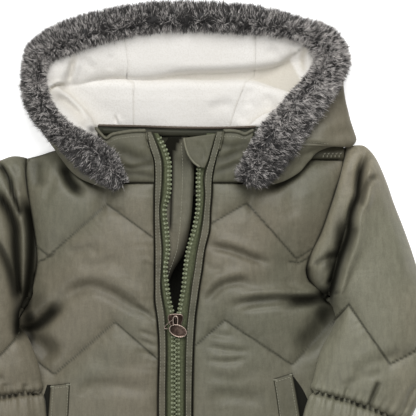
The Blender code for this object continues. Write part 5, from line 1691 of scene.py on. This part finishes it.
def make_fur():
    dice = np.random.default_rng(17)
    sections = fur_sections()
    stations = np.linspace(0, 1, 260)
    turns = np.arange(22) * 2 * pi / 22
    along, around = np.meshgrid(stations, turns, indexing="ij")
    skin = fur_point(sections, along.ravel(), around.ravel())[0].reshape(260, 22, 3)
    caps = np.stack((skin[0].mean(axis=0)[None].repeat(22, 0), skin[-1].mean(axis=0)[None]
                     .repeat(22, 0)))
    skin = np.concatenate((caps[:1], skin, caps[1:]))
    backing = mesh_of("fur_backing", skin.reshape(-1, 3), grid_faces(262, 22, ring=True))
    shade = np.tile((0.018, 0.0165, 0.016, 1.0), (len(skin) * 22, 1))
    layer = backing.data.attributes.new("hair", "FLOAT_COLOR", "POINT")
    layer.data.foreach_set("color", shade.astype(np.float32).ravel())
    dressed(backing, FUR, ("fur_trim",))

    clump_along = dice.uniform(0, 1, CLUMPS)
    clump_around = dice.uniform(-0.75, pi + 0.75, CLUMPS)
    clump_lean = dice.normal(0, 1, (CLUMPS, 3))
    # Each clump's frosting: random, scaled by the painted light along the trim.
    clump_shade = dice.beta(0.5, 0.9, CLUMPS) * FUR_LIGHT(clump_along)
    pieces = []
    for k in range(FUR_PARTS):
        inside = (clump_along >= k / FUR_PARTS) & (clump_along < (k + 1) / FUR_PARTS)
        own = np.repeat(np.flatnonzero(inside), HAIRS // CLUMPS)
        count = len(own)
        along = np.clip(clump_along[own] + dice.normal(0, 0.00085, count), 0.0, 1.0)
        around = clump_around[own] + dice.normal(0, 0.06, count)
        root, facing, across = fur_point(sections, along, around)
        comb = 0.8 * np.tanh((2.2 - around) * 2.2)
        lean = 0.3 * clump_lean[own] + 0.16 * dice.normal(0, 1, (count, 3))
        way = facing * 0.55 + across * comb[:, None] + lean
        way /= np.linalg.norm(way, axis=1, keepdims=True)
        inner_side = ease(-np.cos(around))
        length = dice.uniform(5.2, 9.4, count) * (1 - 0.3 * inner_side)
        length *= 1 + 0.35 * (dice.random(count) < 0.08)
        droop = np.array((0, 0, -1.0)) * (0.2 * length)[:, None]
        tip = root + way * length[:, None] + droop * 0.6
        mid = root + way * (length * 0.55)[:, None] + droop * 0.12
        flat = np.cross(way, facing) + 0.3 * dice.normal(0, 1, (count, 3))
        flat /= np.linalg.norm(flat, axis=1, keepdims=True)
        wide = dice.uniform(0.17, 0.32, count)[:, None]
        points = np.stack((root - flat * wide, root + flat * wide, mid - flat * wide * 0.8,
                           mid + flat * wide * 0.8, tip), axis=1)
        start = np.arange(count)[:, None] * 5
        quads = (start + (0, 1, 3, 2)).tolist()
        ends = (start + (2, 3, 4)).tolist()
        mesh = bpy.data.meshes.new("fur_hair_%d" % (k + 1))
        mesh.from_pydata((points.reshape(-1, 3) * MM).tolist(), [], quads + ends)
        chance = 0.07 + 0.88 * clump_shade[own] * (0.8 + 0.5 * inner_side)
        chance = chance - 0.12 * ease(np.cos(around))
        frosted = dice.random(count) < chance
        light = np.where(frosted, dice.uniform(0.6, 1.0, count), dice.uniform(0.0, 0.2, count))
        tip_tone = np.minimum(0.035 + 1.25 * light ** 1.4, 0.95)
        base_tone = 0.012 + 0.24 * light
        tone = np.stack((base_tone, base_tone, 0.45 * base_tone + 0.55 * tip_tone,
                         0.45 * base_tone + 0.55 * tip_tone, tip_tone), axis=1)
        warm = np.array((1.0, 0.945, 0.9))
        colour = np.concatenate((tone[..., None] * warm, np.ones((count, 5, 1))), axis=2)
        layer = mesh.attributes.new("hair", "FLOAT_COLOR", "POINT")
        layer.data.foreach_set("color", colour.astype(np.float32).ravel())
        made = bpy.data.objects.new(mesh.name, mesh)
        bpy.context.scene.collection.objects.link(made)
        pieces.append(dressed(made, FUR))
    return backing, pieces


# ---------------------------------------------------------------- pockets

WELT_ROWS = ((-106.5, -95.6, -113.4, 87.6, 104.8), (-118.0, -96.2, -114.2, 89.6, 107.0),
             (-135.0, -97.0, -115.4, 92.0, 110.0), (-175.0, -100.0, -118.0, 97.0, 115.5),
             (-208.0, -103.0, -121.0, 101.0, 119.5))


def make_welts(fronts):
    for side, first in (("right", 1), ("left", 3)):
        surface = fronts[side][1]
        rows, slit, bars = [], [], []
        for row in WELT_ROWS:
            y, inner, outer = row[0], row[first], row[first + 1]
            y += 0.0 if side == "right" else 7.5
            tilt = 2.2 if side == "right" else -5.4
            line, mouth = [], []
            for part in (0.0, 0.12, 0.5, 0.88, 1.0):
                x = inner + (outer - inner) * part
                up = y - tilt * (part - 0.5)
                base = dropped(surface, x, up)
                z = float(front_height_at(side, x, up)) if base is None else base[2]
                bulge = (0.5, 1.7, 2.6, 3.6, 3.3)[(0.0, 0.12, 0.5, 0.88, 1.0).index(part)]
                line.append((x, up, z + bulge))
            sign = SIGN[side]
            wide = (1.0, 5.0, 10.5, 6.0) if side == "right" else (1.5, 8.5, 16.0, 9.0)
            gape = np.interp(-y, (99.0, 113.0, 146.0, 204.0), wide)
            for part in (0.0, 0.5, 1.0):
                x = outer - sign * 5.0 + sign * (5.0 + gape) * part
                base = dropped(surface, x, y - 1.0)
                z = float(front_height_at(side, x, y)) if base is None else base[2]
                mouth.append((x, y - 1.0, z + 0.35))
            rows.append(line)
            slit.append(mouth)
        grid = woven(rows, 1.5)
        x, y = grid[..., 0], grid[..., 1]
        grid[..., 2] += 0.25 * unevenness(x, y, 5.0, 95)
        mouth = woven(slit, 2.0)
        if side == "right":
            grid, mouth = grid[:, ::-1], mouth[:, ::-1]
        brim = [edge_of(grid, where) for where in ("top", "first", "last")]
        # Painted shade along the welt's edges.
        cloth("welt_" + side, grid, 1.3, TRIM,
              sunk=0.8 * seam_shade(grid[..., 0], grid[..., 1], brim, 0.7))
        # A near-black sheet in the pocket's mouth: painted shadow.
        cloth("pocket_mouth_" + side, mouth, 0.3, DARK,
              nodes=())
        on_welt = surface_of(grid)
        top = grid[2, 1:-1, :2][::2]
        inner_edge = grid[2:-2, -2 if side == "right" else 1, :2][::3]
        outer_edge = grid[2:-2, 2 if side == "right" else -3, :2][::3]
        stitched("welt_thread_" + side, [top, inner_edge, outer_edge], on_welt, pitch=2.6,
                 thick=0.28, dye=PALE_THREAD)
        bars = []
        for corner in (grid[1, 1, :2], grid[1, -2, :2]):
            for shift in np.linspace(-1.6, 1.6, 6):
                bars.append(np.array((corner + (shift, -0.9), corner + (shift + 0.5, 1.3))))
        stitched("welt_bars_" + side, bars, surface_of(grid, fronts[side][0]), pitch=2.2,
                 thick=0.3, dye=PALE_THREAD)


# ---------------------------------------------------------------- slider and pull

SLIDER_X, SLIDER_Y = -0.4, -48.6


def slider_level():
    return float(ZIP["height"](SLIDER_Y)) - STRIP_WALL - SEAM_GAP - TAPE_WALL / 2


def plate_outline(scale):
    """The slider's shield: broad shoulders where the two rows enter, narrower where they leave."""
    half = ((0.0, 5.7), (1.5, 5.7), (3.4, 5.6), (5.4, 5.2), (6.6, 4.2), (7.1, 2.8), (6.9, 0.6),
            (6.1, -1.6), (5.4, -3.6), (4.8, -4.9), (3.4, -5.4), (0.0, -5.5))
    shape = [(x * scale, y * scale) for x, y in half]
    shape += [(-x * scale, y * scale) for x, y in half[-2:0:-1]]
    return shape


def lathe_plate(name, outline, low, high, rise, dye, slot, worn_rim=True):
    """A plate with a rounded rim: rings of its outline, drawn in towards its faces."""
    shape = np.array(outline)
    layers = ((0.90, low + 0.0), (0.97, low + 0.12), (1.0, low + 0.38), (1.0, high - 0.38),
              (0.97, high - 0.1), (0.90, high), (0.6, high + rise * 0.7), (0.3, high + rise),
              (0.02, high + rise))
    layers = ((0.02, low), (0.6, low)) + layers
    points = [np.concatenate((shape * s, np.full((len(shape), 1), z)), axis=1)
              for s, z in layers]
    worn_and_highlit = [np.full(len(shape), 1.0 if 0.93 < s < 1.01 and worn_rim else 0.0)
            for s, z in layers]
    grid = np.array(points)
    return grid, np.array(worn_and_highlit)


def add_metal(name, parts, nodes, body, dye):
    """One metal piece from closed grids of points, each with its paler places: worn rims, and a
    painted highlight along wires.
    """
    points, faces, worn_and_highlit = [], [], []
    start = 0
    for grid, wear_and_highlight in parts:
        points.append(grid.reshape(-1, 3))
        faces.append(grid_faces(*grid.shape[:2], ring=True) + start)
        worn_and_highlit.append(wear_and_highlight.ravel())
        start += grid.shape[0] * grid.shape[1]
    made = mesh_of(name, np.concatenate(points), np.concatenate(faces),
                   {"worn_and_highlit": np.concatenate(worn_and_highlit)})
    return dressed(made, dye, nodes, body)


def wire(path, radius, sides=10):
    path = spaced(path, 0.45)
    way = np.gradient(path, axis=0)
    way /= np.linalg.norm(way, axis=1, keepdims=True)
    aside = np.array((0.0, 0.0, 1.0)) if abs(way[:, 2]).max() < 0.9 else np.array((1.0, 0, 0))
    across = np.cross(aside[None], way)
    across /= np.linalg.norm(across, axis=1, keepdims=True)
    rise = np.cross(way, across)
    angle = np.arange(sides) * 2 * pi / sides
    ring = (across[:, None] * np.cos(angle)[None, :, None]
            + rise[:, None] * np.sin(angle)[None, :, None]) * radius
    grid = path[:, None] + ring
    first, last = path[:1, None].repeat(sides, 1), path[-1:, None].repeat(sides, 1)
    grid = np.concatenate((first, grid, last))[::-1]
    # Painted highlight: the upper side of the wire is paler.
    wear_and_highlight = np.clip(rise[:, None, 2] * 0 + np.sin(angle)[None], 0, 1) ** 2
    wear_and_highlight = np.concatenate((wear_and_highlight[:1], wear_and_highlight, wear_and_highlight[-1:]))
    return grid, wear_and_highlight[::-1] * 0.8


def make_slider():
    level = slider_level()
    seat = np.array((SLIDER_X, SLIDER_Y, level))
    half_slot, plate = 1.8, 1.1
    outline = plate_outline(1.0)[::-1]
    upper, wear_and_highlight = lathe_plate("upper", outline, half_slot, half_slot + plate - 0.25, 0.25, None, "")
    lower, wear_low = lathe_plate("lower", outline, -half_slot - plate, -half_slot, 0.0, None, "")
    web = np.array([[(x * s, y, z) for x, y in ((0.5, 5.0), (0.9, 3.4), (0.5, 1.8), (-0.5, 1.8),
                                                (-0.9, 3.4), (-0.5, 5.0))]
                    for s, z in ((1.0, -half_slot), (1.0, half_slot))])[:, ::-1]
    lug_top = half_slot + plate + 2.0
    lug = [(0.0, -3.1, half_slot + plate - 0.3), (0.0, -2.95, lug_top - 0.3),
           (0.0, -2.1, lug_top + 0.55), (0.0, 0.0, lug_top + 0.75), (0.0, 2.1, lug_top + 0.55),
           (0.0, 2.95, lug_top - 0.3), (0.0, 3.1, half_slot + plate - 0.3)]
    arch, arch_highlight = wire(np.array(lug), 0.62)
    parts = [(upper + seat, wear_and_highlight), (lower + seat, wear_low),
             (web + seat, np.zeros(web.shape[:2])), (arch + seat, arch_highlight)]
    add_metal("slider", parts, ("slider_body",), "jacket", DARK_BRONZE)

    axis = seat + (0, 0, half_slot + plate + 1.0)
    loop = [(-1.7, -7.3, -0.1), (-1.9, -5.5, 0.0), (-1.95, -2.4, 0.0), (-1.75, -0.7, 0.0),
            (-1.0, 0.05, 0.0), (0.0, 0.25, 0.0), (1.0, 0.05, 0.0), (1.75, -0.7, 0.0),
            (1.95, -2.4, 0.0), (1.9, -5.5, 0.0), (1.7, -7.3, -0.1)]
    link, link_highlight = wire(np.array(loop) + axis + (0, 3.2, 0), 0.8)
    hook = [(-2.2, -2.6, 0.2), (-4.8, -4.6, 0.1), (-8.6, -8.0, 0.0), (-9.9, -10.2, 0.0),
            (-8.8, -11.0, 0.0), (-6.6, -10.4, 0.1)]
    bent, hook_highlight = wire(np.array(hook) + axis + (0, 3.2, 0), 0.42)
    add_metal("pull_wire", [(link, link_highlight), (bent, hook_highlight)], ("pull_link",), "pull", BRONZE)

    turn = radians(-20.0)
    count = 56
    angle = -np.arange(count) * 2 * pi / count
    oval = np.stack((8.5 * np.cos(angle), 5.5 * np.sin(angle)), axis=1)
    layers = ((0.02, -0.55), (0.7, -0.6), (0.93, -0.7), (0.985, -0.5), (1.0, -0.1), (0.99, 0.35),
              (0.955, 0.66), (0.91, 0.7), (0.87, 0.52), (0.84, 0.28), (0.7, 0.3), (0.4, 0.38),
              (0.02, 0.42))
    grid = np.array([np.concatenate((oval * s, np.full((count, 1), z)), axis=1)
                     for s, z in layers])
    wear_and_highlight = np.array([np.full(count, 1.0 if 0.9 < s < 1.0 and z > 0.3 else 0.0)
                     for s, z in layers])
    spun = np.array(((cos(turn), sin(turn), 0), (-sin(turn), cos(turn), 0), (0, 0, 1.0)))
    reach = 6.6 + hypot(17.5 * sin(turn), 12.6 * cos(turn)) / 2 + 0.3
    disc = grid @ spun + axis + (2.3, 3.9 - reach, 0)
    add_metal("pull_tab", [(disc, wear_and_highlight)], ("pull_disc",), "pull", BRONZE)


# ---------------------------------------------------------------- stage

def make_stage():
    mesh = bpy.data.meshes.new("floor")
    size = 3.0
    mesh.from_pydata([(-size, -size, 0), (size, -size, 0), (size, size, 0), (-size, size, 0)], [],
                     [(0, 1, 2, 3)])
    floor = bpy.data.objects.new("floor", mesh)
    floor.location = (0, 0, -0.0006)
    bpy.context.scene.collection.objects.link(floor)
    paper = Dye("floor_paper", {"Roughness": 0.9, "Specular IOR Level": 0.1,
                                "Emission Color": (1.0, 1.0, 1.0), "Emission Strength": 0.5})
    grain = paper.noise(40.0, 2.0)
    paper.coloured(paper.mixed(grain, (0.92, 0.92, 0.92), (0.94, 0.94, 0.94)))
    floor.data.materials.append(paper.material)

    world = bpy.data.worlds.new("studio")
    bpy.context.scene.world = world
    world.use_nodes = True
    world.node_tree.nodes["Background"].inputs["Color"].default_value = (1.0, 1.0, 1.0, 1.0)
    world.node_tree.nodes["Background"].inputs["Strength"].default_value = 0.26
    for name, place, size, power in (("key", (0.12, 1.08, 1.42), 1.1, 27.5),
                                     ("fill", (-0.8, -0.7, 1.5), 1.4, 11.0)):
        light = bpy.data.lights.new(name, "AREA")
        light.size = size
        light.energy = power
        lamp = bpy.data.objects.new(name, light)
        lamp.location = place
        target = Vector((0.03, 0.0, 0.02))
        lamp.rotation_euler = (target - lamp.location).to_track_quat("-Z", "Y").to_euler()
        bpy.context.scene.collection.objects.link(lamp)

    lens = bpy.data.cameras.new("camera")
    lens.sensor_width = 36.0
    lens.lens = 36.0 * 2500.0 / 374.4
    lens.clip_end = 20.0
    camera = bpy.data.objects.new("camera", lens)
    camera.location = (0.0288, 0.0522, 2.53)
    bpy.context.scene.collection.objects.link(camera)
    bpy.context.scene.camera = camera
    bpy.context.scene.view_settings.view_transform = "Standard"


def build():
    make_stage()
    make_back()
    fronts = make_fronts()
    make_plackets()
    make_tapes()
    make_teeth()
    make_flap()
    make_chin_guard()
    make_collars()
    make_collar_back()
    make_sleeves()
    make_hood_shell()
    make_fleece()
    make_fur()
    make_welts(fronts)
    make_slider()


build()
